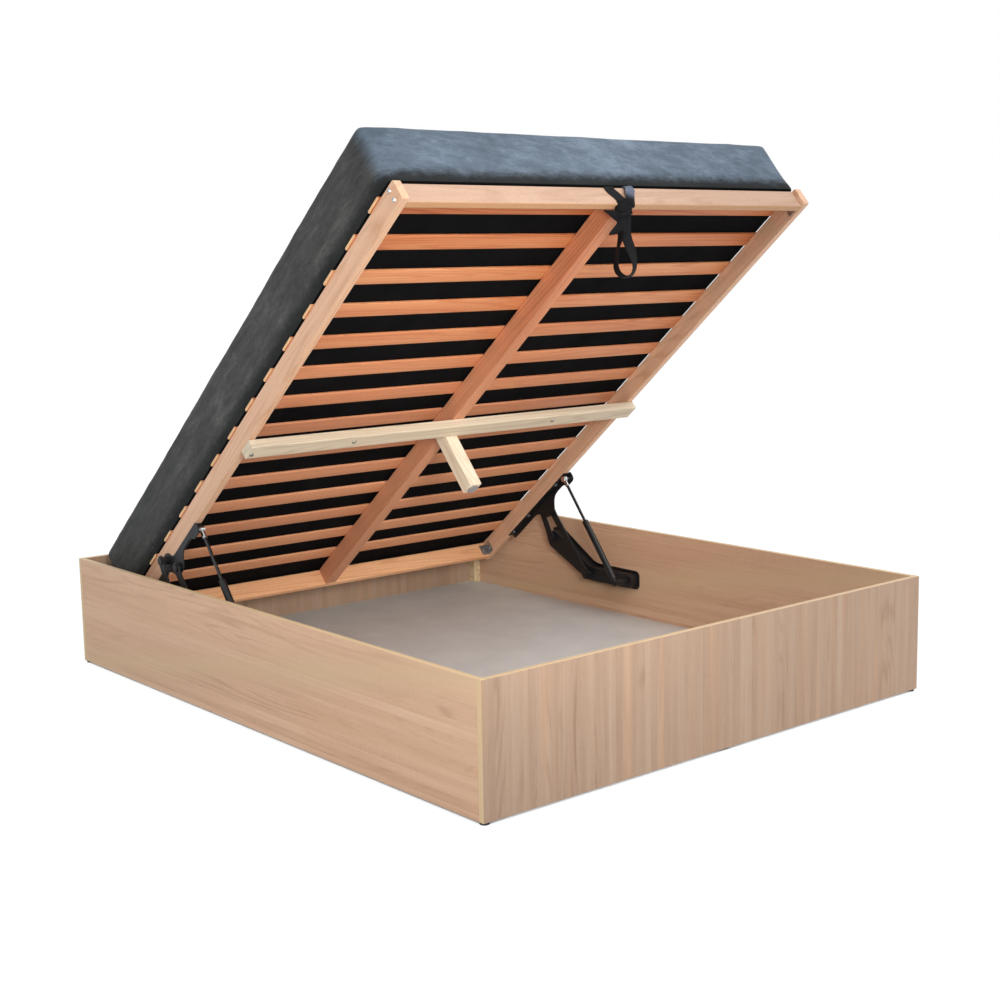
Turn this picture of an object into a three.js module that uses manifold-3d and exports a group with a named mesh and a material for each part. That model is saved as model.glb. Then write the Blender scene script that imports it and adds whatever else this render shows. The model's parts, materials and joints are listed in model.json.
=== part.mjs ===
// Lift-up storage bed: an open box of laminated boards, a slatted beech frame that carries the
// mattress, and on each side a four-bar lift with a gas spring.
// Millimetres, +Z up.  X runs across the bed, the foot of the bed is at -Y and its head at +Y.
// The origin is on the floor, under the middle of the box.
// The bed is drawn lifted open.  Closing it turns the slatted frame down into the box.
import * as THREE from 'three';
import { mergeVertices } from 'three/addons/utils/BufferGeometryUtils.js';
import Module from 'manifold-3d';

const wasm = await Module();
wasm.setup();

// Box
const bedWidth = 1640;
const bedLength = 2040;
const boxTop = 342;
const boardThickness = 16;
const boardEdgeRadius = 1;
const glideHeight = 6;
const glideRadius = 12;
const glideInset = 14;
const bottomThickness = 6;
const bottomUnderside = 30;
const joistWidth = 45;
const cleatWidth = 20;
const cleatHeight = 22;
const cornerBlockSize = 30;
const cornerBlockDrop = 20;

// Slatted frame
const liftSpace = 64;
const headClearance = 10;
const footClearance = 36;
const railThickness = 22;
const railHeight = 58;
const railEndRadius = 5;
const endRailSetback = 12;
const slatCount = 14;
const slatWidth = 54;
const slatThickness = 8;
const slatEdgeRadius = 3;
const firstSlatFromFoot = 93;
const lastSlatFromHead = 147;
const sparWidth = 42;
const braceWidth = 55;
const braceHeight = 28;
const braceFromFoot = 965;
const legSize = 45;
const legOffCentre = -12;
const legGlideHeight = 4;
const angleLeg = 30;
const angleSheet = 2;
const angleHeight = 40;
const angleScrewRadius = 4.5;
const railBoltRadius = 6;
const railBoltHead = 3;
const railBoltSpacing = 28;

// Mattress
const mattressThickness = 178;
const mattressSideInset = 5;
const mattressCorner = 70;
const mattressEdge = 26;
const mattressCrown = 5;

// Pull strap
const webbingWidth = 26;
const webbingThickness = 2;
const strapOffCentre = -16;
const strapLeftTop = -14;
const strapLeftFoot = -10;
const strapRightTop = 55;
const strapRightFoot = 10;
const strapLoopLength = 180;
const strapLoopWidth = 60;
const strapTail = 70;
const strapShoulder = 40;
const strapNeck = 30;
const knotSink = 4;
const knotWidth = 36;
const knotDepth = 24;
const knotHeight = 22;

// Where the frame is when lifted and when closed, at its head end
const openAngle = THREE.MathUtils.degToRad(40.15);
const openHeadGap = 171.3;
const openHeadHeight = 148.9;
const closedHeight = 246;

// Lift: pivots on the frame are measured from its head end and its underside
const frontPivotFromHead = 402;
const frontPivotDrop = 45;
const frontPivotBow = 256.6;
const rearPivotFromHead = 353;
const rearPivotRise = 12;
const rearPivotBow = 106.4;
const springPivotFromHead = 564;
const springPivotDrop = 16;
const springFootFromHead = 869;
const springFootHeight = 164;
const springInset = 20;
const plateSheet = 3;
const plateHeadEnd = 175;
const plateWaist = 18;
const plateLobe = 22;
const plateLobeDepth = 19;
const plateFlare = 34;
const plateCorner = 18;
const plateLugHalf = 24;
const plateFlangeInset = 22;
const plateBoltsFromHead = [505, 309, 198];
const linkSheet = 5;
const linkStandoff = 7;
const linkPassGap = 0.8;
const linkHalfWidth = 13;
const eyeRadius = 17;
const pinRadius = 8;
const pinHeadRadius = 12;
const pinHeadHeight = 3.5;
const traySheet = 2.5;
const trayGap = 2;
const trayLip = 9;
const trayMargin = 23;
const trayCorner = 20;
const boltHeadRadius = 7;
const boltHeadHeight = 3;

// Gas spring
const cylinderRadius = 11;
const cylinderWall = 2;
const cylinderLength = 250;
const cylinderGuide = 14;
const springRodRadius = 5;
const pistonLength = 12;
const pistonEndGap = 5;
const springEyeRadius = 10;
const springEyeWidth = 15;
const springEyeNeck = 14;
const springPinRadius = 5;
const socketRadius = 10;
const socketStem = 30;
const socketStemRadius = 7;

// Clearances
const fitGap = 0.3;
const pinPlay = 0.35;
const openPinPlay = 1.7;
const roundSteps = 20;
const screwSteps = 12;
const arcSteps = 5;

const materials = {
  laminate: finish(0xcdb594, 0.55, 0),
  beech: finish(0xdba67c, 0.55, 0),
  slat: finish(0xd68a5c, 0.5, 0),
  spruce: finish(0xe0cda6, 0.6, 0),
  whiteBoard: finish(0xe2e0da, 0.5, 0),
  blackSteel: finish(0x17181a, 0.45, 0.6),
  zincSteel: finish(0xa9adb1, 0.35, 0.9),
  chrome: finish(0xc9ccd0, 0.15, 1),
  mattress: finish(0x454848, 0.95, 0),
  webbing: finish(0x151517, 0.9, 0),
  plastic: finish(0x1d1d1f, 0.7, 0),
};

function finish(color, roughness, metalness) {
  return new THREE.MeshStandardMaterial({ color, roughness, metalness });
}

// Places worked out from the driving dimensions
const innerX = bedWidth / 2 - boardThickness;
const innerY = bedLength / 2 - boardThickness;
const frameHalf = innerX - liftSpace;
const frameLength = 2 * innerY - headClearance - footClearance;
const bottomTop = bottomUnderside + bottomThickness;
const slatUnderside = railHeight + fitGap;
const slatTop = slatUnderside + slatThickness;
const railInner = frameHalf - railThickness;

// Distances out from the bed's middle, through the space beside the frame.  The two links cross
// halfway, so each turns in a plane of its own and the pin heads lie between the two planes.
const plateOuter = frameHalf + fitGap + plateSheet;
const frontInner = plateOuter + linkStandoff;
const frontOuter = frontInner + linkSheet;
const rearInner = frontOuter + fitGap + pinHeadHeight + linkPassGap;
const rearOuter = rearInner + linkSheet;
const trayWeb = rearOuter + fitGap + pinHeadHeight + trayGap;
const springMiddle = frameHalf - springInset;

// Solids

function solidOf(geometry) {
  const bare = geometry.index ? geometry.toNonIndexed() : geometry.clone();
  bare.deleteAttribute('normal');
  bare.deleteAttribute('uv');
  const merged = mergeVertices(bare, 1e-4);
  return new wasm.Manifold(new wasm.Mesh({
    numProp: 3,
    vertProperties: new Float32Array(merged.attributes.position.array),
    triVerts: new Uint32Array(merged.index.array),
  }));
}

function geometryOf(solid) {
  const mesh = solid.getMesh();
  const geometry = new THREE.BufferGeometry();
  geometry.setAttribute('position', new THREE.BufferAttribute(mesh.vertProperties, 3));
  geometry.setIndex(new THREE.BufferAttribute(mesh.triVerts, 1));
  geometry.computeVertexNormals();
  return geometry;
}

function joined(...solids) {
  return solids.reduce((whole, next) => whole.add(next));
}

function block([x0, x1], [y0, y1], [z0, z1]) {
  const geometry = new THREE.BoxGeometry(x1 - x0, y1 - y0, z1 - z0);
  return solidOf(geometry.translate((x0 + x1) / 2, (y0 + y1) / 2, (z0 + z1) / 2));
}

// A profile drawn in Y and Z, given its thickness along X
function slab(shape, [x0, x1], steps = arcSteps) {
  const options = { depth: x1 - x0, bevelEnabled: false, curveSegments: steps };
  const geometry = new THREE.ExtrudeGeometry(shape, options);
  const turn = new THREE.Matrix4().makeBasis(
    new THREE.Vector3(0, 1, 0), new THREE.Vector3(0, 0, 1), new THREE.Vector3(1, 0, 0));
  return solidOf(geometry.applyMatrix4(turn).translate(x0, 0, 0));
}

// A round bar along X through (y, z)
function barX(radius, [x0, x1], [y, z], steps = roundSteps) {
  const geometry = new THREE.CylinderGeometry(radius, radius, x1 - x0, steps);
  return solidOf(geometry.rotateZ(Math.PI / 2).translate((x0 + x1) / 2, y, z));
}

// A round bar along Y, at height z, centred on x
function barY(radius, [y0, y1], [x, z], steps = roundSteps) {
  const geometry = new THREE.CylinderGeometry(radius, radius, y1 - y0, steps);
  return solidOf(geometry.translate(x, (y0 + y1) / 2, z));
}

// A round disc standing on z0
function disc(radius, [x, y], [z0, z1]) {
  const geometry = new THREE.CylinderGeometry(radius, radius, z1 - z0, roundSteps);
  return solidOf(geometry.rotateX(Math.PI / 2).translate(x, y, (z0 + z1) / 2));
}

// A closed outline whose corners are rounded; each point is [u, v, radius]
function roundedOutline(points) {
  const shape = new THREE.Shape();
  const at = (i) => new THREE.Vector2(...points[(i + points.length) % points.length]);
  points.forEach(([u, v, radius], i) => {
    const corner = new THREE.Vector2(u, v);
    const before = at(i - 1).sub(corner);
    const after = at(i + 1).sub(corner);
    const reach = Math.min(radius, before.length() / 2.1, after.length() / 2.1);
    const from = corner.clone().add(before.setLength(reach));
    const to = corner.clone().add(after.setLength(reach));
    if (i === 0) shape.moveTo(from.x, from.y);
    else shape.lineTo(from.x, from.y);
    shape.quadraticCurveTo(u, v, to.x, to.y);
  });
  shape.closePath();
  return shape;
}

function roundedRectangle([u0, u1], [v0, v1], radius) {
  return roundedOutline([[u0, v0, radius], [u1, v0, radius], [u1, v1, radius], [u0, v1, radius]]);
}

// side is 1 for the right and -1 for the left
function outward(side, near, far) {
  return side > 0 ? [near, far] : [-far, -near];
}

const bed = new THREE.Group();

function addPiece(parent, name, solid, material) {
  const mesh = new THREE.Mesh(geometryOf(solid), material);
  mesh.name = name;
  parent.add(mesh);
  return mesh;
}

const sides = [['left', -1], ['right', 1]];
const ends = [['foot', -1], ['head', 1]];

// A board whose long edges along X are eased, standing on edge
function boardAlongX(halfLength, [y0, y1]) {
  const edge = roundedRectangle([y0, y1], [glideHeight, boxTop], boardEdgeRadius);
  return slab(edge, [-halfLength, halfLength], 2);
}

function sideBoard(side) {
  const [x0, x1] = outward(side, innerX, bedWidth / 2);
  const edge = roundedRectangle([x0, x1], [glideHeight, boxTop], boardEdgeRadius);
  const options = { depth: 2 * (innerY - fitGap), bevelEnabled: false, curveSegments: 2 };
  const geometry = new THREE.ExtrudeGeometry(edge, options);
  return solidOf(geometry.rotateX(Math.PI / 2).translate(0, innerY - fitGap, 0));
}

function makeBox() {
  for (const [name, side] of sides) {
    addPiece(bed, `side_panel_${name}`, sideBoard(side), materials.laminate);
  }
  for (const [name, end] of ends) {
    const face = outward(end, innerY, bedLength / 2);
    addPiece(bed, `${name}_panel`, boardAlongX(bedWidth / 2, face), materials.laminate);
  }
  makeBottom();
  for (const [endName, end] of ends) {
    for (const [sideName, side] of sides) makeCorner(`${endName}_${sideName}`, end, side);
  }
}

function makeBottom() {
  const along = [-innerY + fitGap, innerY - fitGap];
  const joist = block([-joistWidth / 2, joistWidth / 2], along, [0, bottomUnderside - fitGap]);
  addPiece(bed, 'centre_joist', joist, materials.spruce);
  for (const [name, side] of sides) {
    const boardX = outward(side, fitGap / 2, innerX - fitGap);
    const board = block(boardX, along, [bottomUnderside, bottomTop]);
    addPiece(bed, `bottom_board_${name}`, board, materials.whiteBoard);
    const cleatX = outward(side, innerX - fitGap - cleatWidth, innerX - fitGap);
    const cleatTop = bottomUnderside - fitGap;
    const cleat = block(cleatX, along, [cleatTop - cleatHeight, cleatTop]);
    addPiece(bed, `bottom_cleat_${name}`, cleat, materials.spruce);
  }
}

function makeCorner(name, end, side) {
  const nearX = innerX - fitGap;
  const nearY = innerY - fitGap;
  const post = block(outward(side, nearX - cornerBlockSize, nearX),
    outward(end, nearY - cornerBlockSize, nearY),
    [bottomTop + fitGap, boxTop - cornerBlockDrop]);
  addPiece(bed, `corner_block_${name}`, post, materials.spruce);
  const centre = [side * (bedWidth / 2 - glideInset), end * (bedLength / 2 - glideInset)];
  const glide = disc(glideRadius, centre, [0, glideHeight - fitGap]);
  addPiece(bed, `glide_${name}`, glide, materials.plastic);
}

// The slatted frame.  Its group has its origin under the frame's head end: the foot is at -Y.
const frame = new THREE.Group();
frame.position.set(0, innerY - openHeadGap, openHeadHeight);
frame.rotation.x = -openAngle;
bed.add(frame);

const footEnd = -frameLength;

function slatCentre(index) {
  const first = footEnd + firstSlatFromFoot;
  const last = -lastSlatFromHead;
  return first + (last - first) * index / (slatCount - 1);
}

function slatSpan(index) {
  return [slatCentre(index) - slatWidth / 2, slatCentre(index) + slatWidth / 2];
}

function makeRail(name, side) {
  const span = outward(side, railInner, frameHalf);
  let rail = slab(roundedRectangle([footEnd, 0], [0, railHeight], railEndRadius), span, 3);
  const head = outward(side, frameHalf - 1, frameHalf + railBoltHead);
  for (const y of [footEnd + endRailSetback, -endRailSetback - railThickness]) {
    for (const lift of [-railBoltSpacing / 2, railBoltSpacing / 2]) {
      const centre = [y + railThickness / 2, railHeight / 2 + lift];
      rail = rail.add(barX(railBoltRadius, head, centre, screwSteps));
    }
  }
  addPiece(frame, `frame_rail_${name}`, rail, materials.beech);
}

function makeEndRail(name, y0) {
  const span = [-railInner + fitGap, railInner - fitGap];
  const rail = block(span, [y0, y0 + railThickness], [0, railHeight]);
  addPiece(frame, `${name}_rail`, rail, materials.beech);
}

function makeSlat(index) {
  const edge = roundedRectangle(slatSpan(index), [slatUnderside, slatTop], slatEdgeRadius);
  const number = String(index + 1).padStart(2, '0');
  addPiece(frame, `slat_${number}`, slab(edge, [-frameHalf, frameHalf], 3), materials.slat);
}

// An angle bracket with a screw head on each leg, in a corner of the frame
function makeAngle(name, end, side) {
  const wallX = railInner - fitGap;
  const wallY = end < 0 ? footEnd + endRailSetback + railThickness + fitGap
    : -endRailSetback - railThickness - fitGap;
  const inwardY = end < 0 ? 1 : -1;
  const spanY = (reach) => [wallY, wallY + inwardY * reach].sort((a, b) => a - b);
  const low = (railHeight - angleHeight) / 2 - 3;
  const tall = [low, low + angleHeight];
  const alongRail = block(outward(side, wallX - angleSheet, wallX), spanY(angleLeg), tall);
  const alongEnd = block(outward(side, wallX - angleLeg, wallX), spanY(angleSheet), tall);
  const middle = low + angleHeight / 2;
  const screwIn = barX(angleScrewRadius, outward(side, wallX - 2 * angleSheet, wallX - 1),
    [wallY + inwardY * angleLeg * 0.6, middle], screwSteps);
  const screwEnd = barY(angleScrewRadius, spanY(2 * angleSheet),
    [side * (wallX - angleLeg * 0.6), middle], screwSteps);
  const bracket = joined(alongRail, alongEnd, screwIn, screwEnd);
  addPiece(frame, `angle_${name}`, bracket, materials.zincSteel);
}

function makeSpar() {
  const along = [footEnd + endRailSetback + railThickness + fitGap,
    -endRailSetback - railThickness - fitGap];
  const spar = block([-sparWidth / 2, sparWidth / 2], along, [0, railHeight]);
  addPiece(frame, 'centre_spar', spar, materials.beech);
}

function makeBraceAndLeg() {
  const braceStart = footEnd + braceFromFoot;
  const braceEnd = braceStart + braceWidth;
  const section = roundedRectangle([braceStart, braceEnd], [-fitGap - braceHeight, -fitGap], 3);
  addPiece(frame, 'cross_brace', slab(section, [-frameHalf, frameHalf], 2), materials.spruce);
  const tip = -(closedHeight - bottomTop - fitGap);
  const legX = [legOffCentre - legSize / 2, legOffCentre + legSize / 2];
  const legY = [braceEnd + fitGap, braceEnd + fitGap + legSize];
  const leg = block(legX, legY, [tip + legGlideHeight + fitGap, -fitGap]);
  addPiece(frame, 'support_leg', leg, materials.spruce);
  const centre = [legOffCentre, (legY[0] + legY[1]) / 2];
  const glide = disc(legSize * 0.4, centre, [tip, tip + legGlideHeight]);
  addPiece(frame, 'leg_glide', glide, materials.zincSteel);
}

function makeFrame() {
  for (const [name, side] of sides) makeRail(name, side);
  makeEndRail('foot', footEnd + endRailSetback);
  makeEndRail('head', -endRailSetback - railThickness);
  makeSpar();
  for (let i = 0; i < slatCount; i += 1) makeSlat(i);
  makeBraceAndLeg();
  for (const [endName, end] of ends) {
    for (const [sideName, side] of sides) makeAngle(`${endName}_${sideName}`, end, side);
  }
}

// Mattress: rings of one rounded outline, stacked from the underside to the crown
function roundedRing([x0, x1], [y0, y1], corner, z) {
  const shape = new THREE.Shape();
  shape.absarc(x1 - corner, y1 - corner, corner, 0, Math.PI / 2, false);
  shape.absarc(x0 + corner, y1 - corner, corner, Math.PI / 2, Math.PI, false);
  shape.absarc(x0 + corner, y0 + corner, corner, Math.PI, 3 * Math.PI / 2, false);
  shape.absarc(x1 - corner, y0 + corner, corner, 3 * Math.PI / 2, 2 * Math.PI, false);
  return shape.getPoints(3).slice(0, -1).map((p) => new THREE.Vector3(p.x, p.y, z));
}

function loft(rings) {
  const count = rings[0].length;
  const points = rings.flat();
  const faces = [];
  for (let r = 0; r + 1 < rings.length; r += 1) {
    for (let i = 0; i < count; i += 1) {
      const a = r * count + i;
      const b = r * count + (i + 1) % count;
      faces.push(a, b, b + count, a, b + count, a + count);
    }
  }
  for (const [r, flip] of [[0, true], [rings.length - 1, false]]) {
    const centre = points.length;
    const ring = rings[r];
    points.push(ring.reduce((sum, p) => sum.add(p), new THREE.Vector3()).divideScalar(count));
    for (let i = 0; i < count; i += 1) {
      const a = r * count + i;
      const b = r * count + (i + 1) % count;
      faces.push(...(flip ? [b, a, centre] : [a, b, centre]));
    }
  }
  const geometry = new THREE.BufferGeometry().setFromPoints(points);
  geometry.setIndex(faces);
  return solidOf(geometry);
}

function makeMattress() {
  const halfX = frameHalf - mattressSideInset;
  const y0 = footEnd + endRailSetback;
  const y1 = -endRailSetback;
  const edge = mattressEdge;
  const base = slatTop + fitGap;
  const top = base + mattressThickness;
  const shoulder = top - mattressCrown;
  const quarter = [0, 1, 2, 3, 4].map((step) => (step / 4) * Math.PI / 2);
  const under = quarter.map((a) => [edge * (1 - Math.sin(a)), base + edge * (1 - Math.cos(a))]);
  const over = quarter.map((a) => [edge * (1 - Math.cos(a)), shoulder - edge * (1 - Math.sin(a))]);
  const crown = [[0.2, 0.6], [0.5, 0.9]].map(([reach, rise]) => [
    reach * halfX, shoulder + rise * mattressCrown]);
  const rings = [...under, ...over, ...crown].map(([inset, z]) => roundedRing(
    [-halfX + inset, halfX - inset], [y0 + inset, y1 - inset],
    Math.max(mattressCorner - inset * 0.5, mattressEdge), z));
  addPiece(frame, 'mattress', loft(rings), materials.mattress);
}

// Pull strap: webbing goes over the foot rail in two strands, is knotted below it and hangs in a loop
function strapSheet(outline, y0) {
  const shape = new THREE.Shape(outline.map(([x, z]) => new THREE.Vector2(x, z)));
  const options = { depth: webbingThickness, bevelEnabled: false };
  const geometry = new THREE.ExtrudeGeometry(shape, options);
  return solidOf(geometry.rotateX(Math.PI / 2).translate(0, y0 + webbingThickness, 0));
}

// One strand: from the top of the rail, where the mattress holds it, down its front to the knot
function strapStrand(topShift, footShift, front) {
  const half = webbingWidth / 2;
  const top = railHeight + fitGap + webbingThickness;
  const foot = -fitGap - webbingThickness;
  const above = strapOffCentre + topShift;
  const below = strapOffCentre + footShift;
  const outline = [[below - half, foot], [below + half, foot], [above + half, top],
    [above - half, top]];
  const over = block([above - half, above + half], [front, front + railThickness],
    [railHeight + fitGap, top]);
  return strapSheet(outline, front).add(over);
}

function teardrop(inset) {
  const half = strapLoopWidth / 2 - inset;
  const low = -strapLoopLength + strapLoopWidth / 2;
  const top = -strapTail - inset * 2;
  const shape = new THREE.Shape();
  shape.moveTo(0, top);
  shape.bezierCurveTo(0, top - strapNeck, -half, low + strapShoulder, -half, low);
  shape.absarc(0, low, half, Math.PI, 2 * Math.PI, false);
  shape.bezierCurveTo(half, low + strapShoulder, 0, top - strapNeck, 0, top);
  return shape;
}

// The two plies of the tail lie together and part into the loop.  It hangs plumb in the open bed,
// so its group turns back what the frame turns.
function strapLoop() {
  const ply = webbingThickness;
  const half = webbingWidth / 2;
  const options = { bevelEnabled: false, curveSegments: 6 };
  const outer = new THREE.ExtrudeGeometry(teardrop(0), { ...options, depth: webbingWidth });
  const inner = new THREE.ExtrudeGeometry(teardrop(ply), { ...options, depth: webbingWidth + 2 });
  const loop = solidOf(outer.rotateX(Math.PI / 2).translate(0, half, 0))
    .subtract(solidOf(inner.rotateX(Math.PI / 2).translate(0, half + 1, 0)));
  return loop.add(block([-ply, ply], [-half, half], [-strapTail - 12, 0]));
}

function makeStrap() {
  const front = footEnd + endRailSetback - fitGap - webbingThickness;
  const middle = [strapOffCentre, front + knotDepth / 2 - knotSink, -fitGap - knotHeight / 2];
  const ball = new THREE.SphereGeometry(0.5, 14, 8);
  const knot = solidOf(ball.scale(knotWidth, knotDepth, knotHeight).translate(...middle));
  const hang = THREE.MathUtils.radToDeg(openAngle);
  const loop = strapLoop().rotate([hang, 0, 0]).translate(middle);
  const strap = joined(strapStrand(strapLeftTop, strapLeftFoot, front),
    strapStrand(strapRightTop, strapRightFoot, front), knot, loop);
  addPiece(frame, 'pull_strap', strap, materials.webbing);
}

// Lift.  Points here are [y, z].
function openPoint(fromHead, rise) {
  const local = new THREE.Vector3(0, -fromHead, rise);
  local.applyAxisAngle(new THREE.Vector3(1, 0, 0), -openAngle).add(frame.position);
  return [local.y, local.z];
}

function closedPoint(fromHead, rise) {
  return [innerY - headClearance - fromHead, closedHeight + rise];
}

// A fixed pivot lies on the perpendicular bisector of the open and closed places of the moving one,
// so that one link reaches both.  bow is its distance from the middle of the two places.
function fixedPivot(open, closed, bow) {
  const chord = [open[0] - closed[0], open[1] - closed[1]];
  const span = Math.hypot(...chord);
  return [(open[0] + closed[0]) / 2 - bow * chord[1] / span,
    (open[1] + closed[1]) / 2 + bow * chord[0] / span];
}

function directionTo([y0, z0], [y1, z1]) {
  return Math.atan2(z1 - z0, y1 - y0);
}

function distance([y0, z0], [y1, z1]) {
  return Math.hypot(y1 - y0, z1 - z0);
}

function linkage(fromHead, rise, bow) {
  const open = openPoint(fromHead, rise);
  const closed = closedPoint(fromHead, rise);
  const fixed = fixedPivot(open, closed, bow);
  return { open, closed, fixed, length: distance(fixed, open), angle: directionTo(fixed, open),
    closedAngle: directionTo(fixed, closed) };
}

const frontLink = linkage(frontPivotFromHead, -frontPivotDrop, frontPivotBow);
const rearLink = linkage(rearPivotFromHead, rearPivotRise, rearPivotBow);
const springTop = { open: openPoint(springPivotFromHead, -springPivotDrop),
  closed: closedPoint(springPivotFromHead, -springPivotDrop) };
const springFoot = [innerY - springFootFromHead, springFootHeight];

function printLift() {
  const degrees = (angle) => THREE.MathUtils.radToDeg(angle).toFixed(4);
  for (const [name, link] of [['front link', frontLink], ['rear link', rearLink]]) {
    console.log(name, 'fixed pivot', link.fixed.map((v) => v.toFixed(3)).join(' '),
      'moving pivot', link.open.map((v) => v.toFixed(3)).join(' '), 'length',
      link.length.toFixed(2), 'open', degrees(link.angle), 'closed', degrees(link.closedAngle));
  }
  console.log('gas spring foot', springFoot.join(' '), 'top',
    springTop.open.map((v) => v.toFixed(3)).join(' '), 'open',
    distance(springFoot, springTop.open).toFixed(3),
    degrees(directionTo(springFoot, springTop.open)), 'closed',
    distance(springFoot, springTop.closed).toFixed(3),
    degrees(directionTo(springFoot, springTop.closed)));
}

// A flat bar with an eye at each end; it lies along +Y from its fixed pivot
function flatLink(length, span, topHole) {
  const neck = 2 * eyeRadius;
  const shape = new THREE.Shape();
  shape.absarc(0, 0, eyeRadius, Math.PI / 2, 3 * Math.PI / 2, false);
  shape.quadraticCurveTo(eyeRadius, -linkHalfWidth, neck, -linkHalfWidth);
  shape.lineTo(length - neck, -linkHalfWidth);
  shape.quadraticCurveTo(length - eyeRadius, -linkHalfWidth, length, -eyeRadius);
  shape.absarc(length, 0, eyeRadius, -Math.PI / 2, Math.PI / 2, false);
  shape.quadraticCurveTo(length - eyeRadius, linkHalfWidth, length - neck, linkHalfWidth);
  shape.lineTo(neck, linkHalfWidth);
  shape.quadraticCurveTo(eyeRadius, linkHalfWidth, 0, eyeRadius);
  const through = [span[0] - 1, span[1] + 1];
  return slab(shape, span, 5)
    .subtract(barX(pinRadius + pinPlay, through, [0, 0]))
    .subtract(barX(topHole, through, [length, 0]));
}

function makeLink(name, side, link, [inner, outer], topHole) {
  const group = new THREE.Group();
  group.position.set(0, ...link.fixed);
  group.rotation.x = link.angle;
  bed.add(group);
  const bar = flatLink(link.length, outward(side, inner, outer), topHole);
  addPiece(group, name, bar, materials.blackSteel);
}

// A pivot pin through a link that lies between x = near and x = far.  It grows from x = root on
// the near side, with a collar up to the link and a head beyond it.
function pivotPin(side, root, near, far, centre) {
  const away = Math.sign(far - near);
  const collarEnd = near - away * fitGap;
  const headStart = far + away * fitGap;
  const headEnd = headStart + away * pinHeadHeight;
  const span = (a, b) => outward(side, Math.min(a, b), Math.max(a, b));
  return joined(barX(pinHeadRadius, span(root, collarEnd), centre),
    barX(pinRadius, span(collarEnd, headStart), centre),
    barX(pinHeadRadius, span(headStart, headEnd), centre));
}

// Steel angle screwed under the frame's rail: a flange below the rail, and a web along its outer
// edge, drawn in the frame's own Y and Z.  The web hangs in a lobe round each lower pivot and rises
// in a lug for the rear one.
function makeLiftPlate(name, side) {
  const foot = -springPivotFromHead;
  const front = -frontPivotFromHead;
  const rear = -rearPivotFromHead;
  const top = -fitGap;
  const r = plateCorner;
  const tip = (drop) => -drop - plateLobeDepth;
  const lugTop = rearPivotRise + plateLugHalf * 0.8;
  const outline = roundedOutline([
    [foot - plateLobe, top, r / 2], [rear - 1.5 * plateLugHalf, top, r],
    [rear - 0.8 * plateLugHalf, lugTop, r], [rear + 0.8 * plateLugHalf, lugTop, r],
    [rear + 1.5 * plateLugHalf, top, r], [-plateHeadEnd, top, r / 2], [-plateHeadEnd, -plateWaist, r / 2],
    [front + plateLobe + plateFlare, -plateWaist, 1.5 * r],
    [front + plateLobe, tip(frontPivotDrop), r], [front - plateLobe, tip(frontPivotDrop), r],
    [front - plateLobe - plateFlare, -plateWaist, 1.5 * r],
    [foot + plateLobe + plateFlare / 2, -plateWaist, r],
    [foot + plateLobe, tip(springPivotDrop), r], [foot - plateLobe, tip(springPivotDrop), r]]);
  let plate = slab(outline, outward(side, frameHalf + fitGap, plateOuter));
  plate = plate.add(block(outward(side, frameHalf - plateFlangeInset, plateOuter),
    [foot - plateLobe / 2, -plateHeadEnd], [-fitGap - plateSheet, -fitGap]));
  plate = plate.add(pivotPin(side, plateOuter - 1, frontInner, frontOuter,
    [front, -frontPivotDrop]));
  plate = plate.add(pivotPin(side, plateOuter - 1, rearInner, rearOuter, [rear, rearPivotRise]));
  const stud = outward(side, springMiddle + springEyeWidth / 2 + fitGap, frameHalf + fitGap + 1);
  plate = plate.add(barX(springPinRadius, stud, [foot, -springPivotDrop]));
  for (const fromHead of plateBoltsFromHead) {
    const span = [-fitGap - plateSheet - boltHeadHeight, -fitGap - plateSheet + 1];
    const centre = [side * (frameHalf - plateFlangeInset / 2), -fromHead];
    plate = plate.add(disc(boltHeadRadius, centre, span));
  }
  addPiece(frame, `lift_plate_${name}`, plate, materials.blackSteel);
}

// Outline of the base tray, grown by a margin: a bent arm round the three fixed pivots
function trayOutline(grow) {
  const [ay, az] = frontLink.fixed;
  const [dy, dz] = rearLink.fixed;
  const [fy, fz] = springFoot;
  const m = trayMargin + grow;
  const r = trayCorner;
  return roundedOutline([
    [fy - m, fz - m, r], [ay + m * 0.4, Math.min(az, fz) - m, r], [dy + m, dz - m * 1.2, r],
    [dy + m, dz + m, r], [dy - m * 0.8, dz + m, r], [ay, az + m * 1.1, r], [fy - m, fz + m, r]]);
}

function makeBaseTray(name, side) {
  const wall = innerX - fitGap;
  const back = wall + 1;
  const root = trayWeb + 1;
  let tray = slab(trayOutline(0), outward(side, trayWeb, wall));
  tray = tray.add(slab(trayOutline(trayLip), outward(side, wall - traySheet, wall)));
  tray = tray.subtract(slab(trayOutline(-traySheet), outward(side, trayWeb + traySheet, back)));
  tray = tray.add(pivotPin(side, root, frontOuter, frontInner, frontLink.fixed));
  tray = tray.add(pivotPin(side, root, rearOuter, rearInner, rearLink.fixed));
  const eyeNear = springMiddle - springEyeWidth / 2 - fitGap;
  const eyeFar = springMiddle + springEyeWidth / 2 + fitGap;
  tray = joined(tray,
    barX(springEyeRadius, outward(side, eyeFar, root), springFoot),
    barX(springPinRadius, outward(side, eyeNear, eyeFar), springFoot),
    barX(springEyeRadius - 2, outward(side, eyeNear - boltHeadHeight, eyeNear), springFoot));
  addPiece(bed, `base_tray_${name}`, tray, materials.blackSteel);
}

// Gas spring: its cylinder lies along +Y from its foot pivot, and the rod slides in the bore
const springAngle = directionTo(springFoot, springTop.open);
const springOpen = distance(springFoot, springTop.open);
const springStroke = springOpen - distance(springFoot, springTop.closed);
const pistonOpen = cylinderLength - cylinderGuide - pistonEndGap;
const boreBottom = pistonOpen - pistonLength - springStroke - pistonEndGap;

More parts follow.
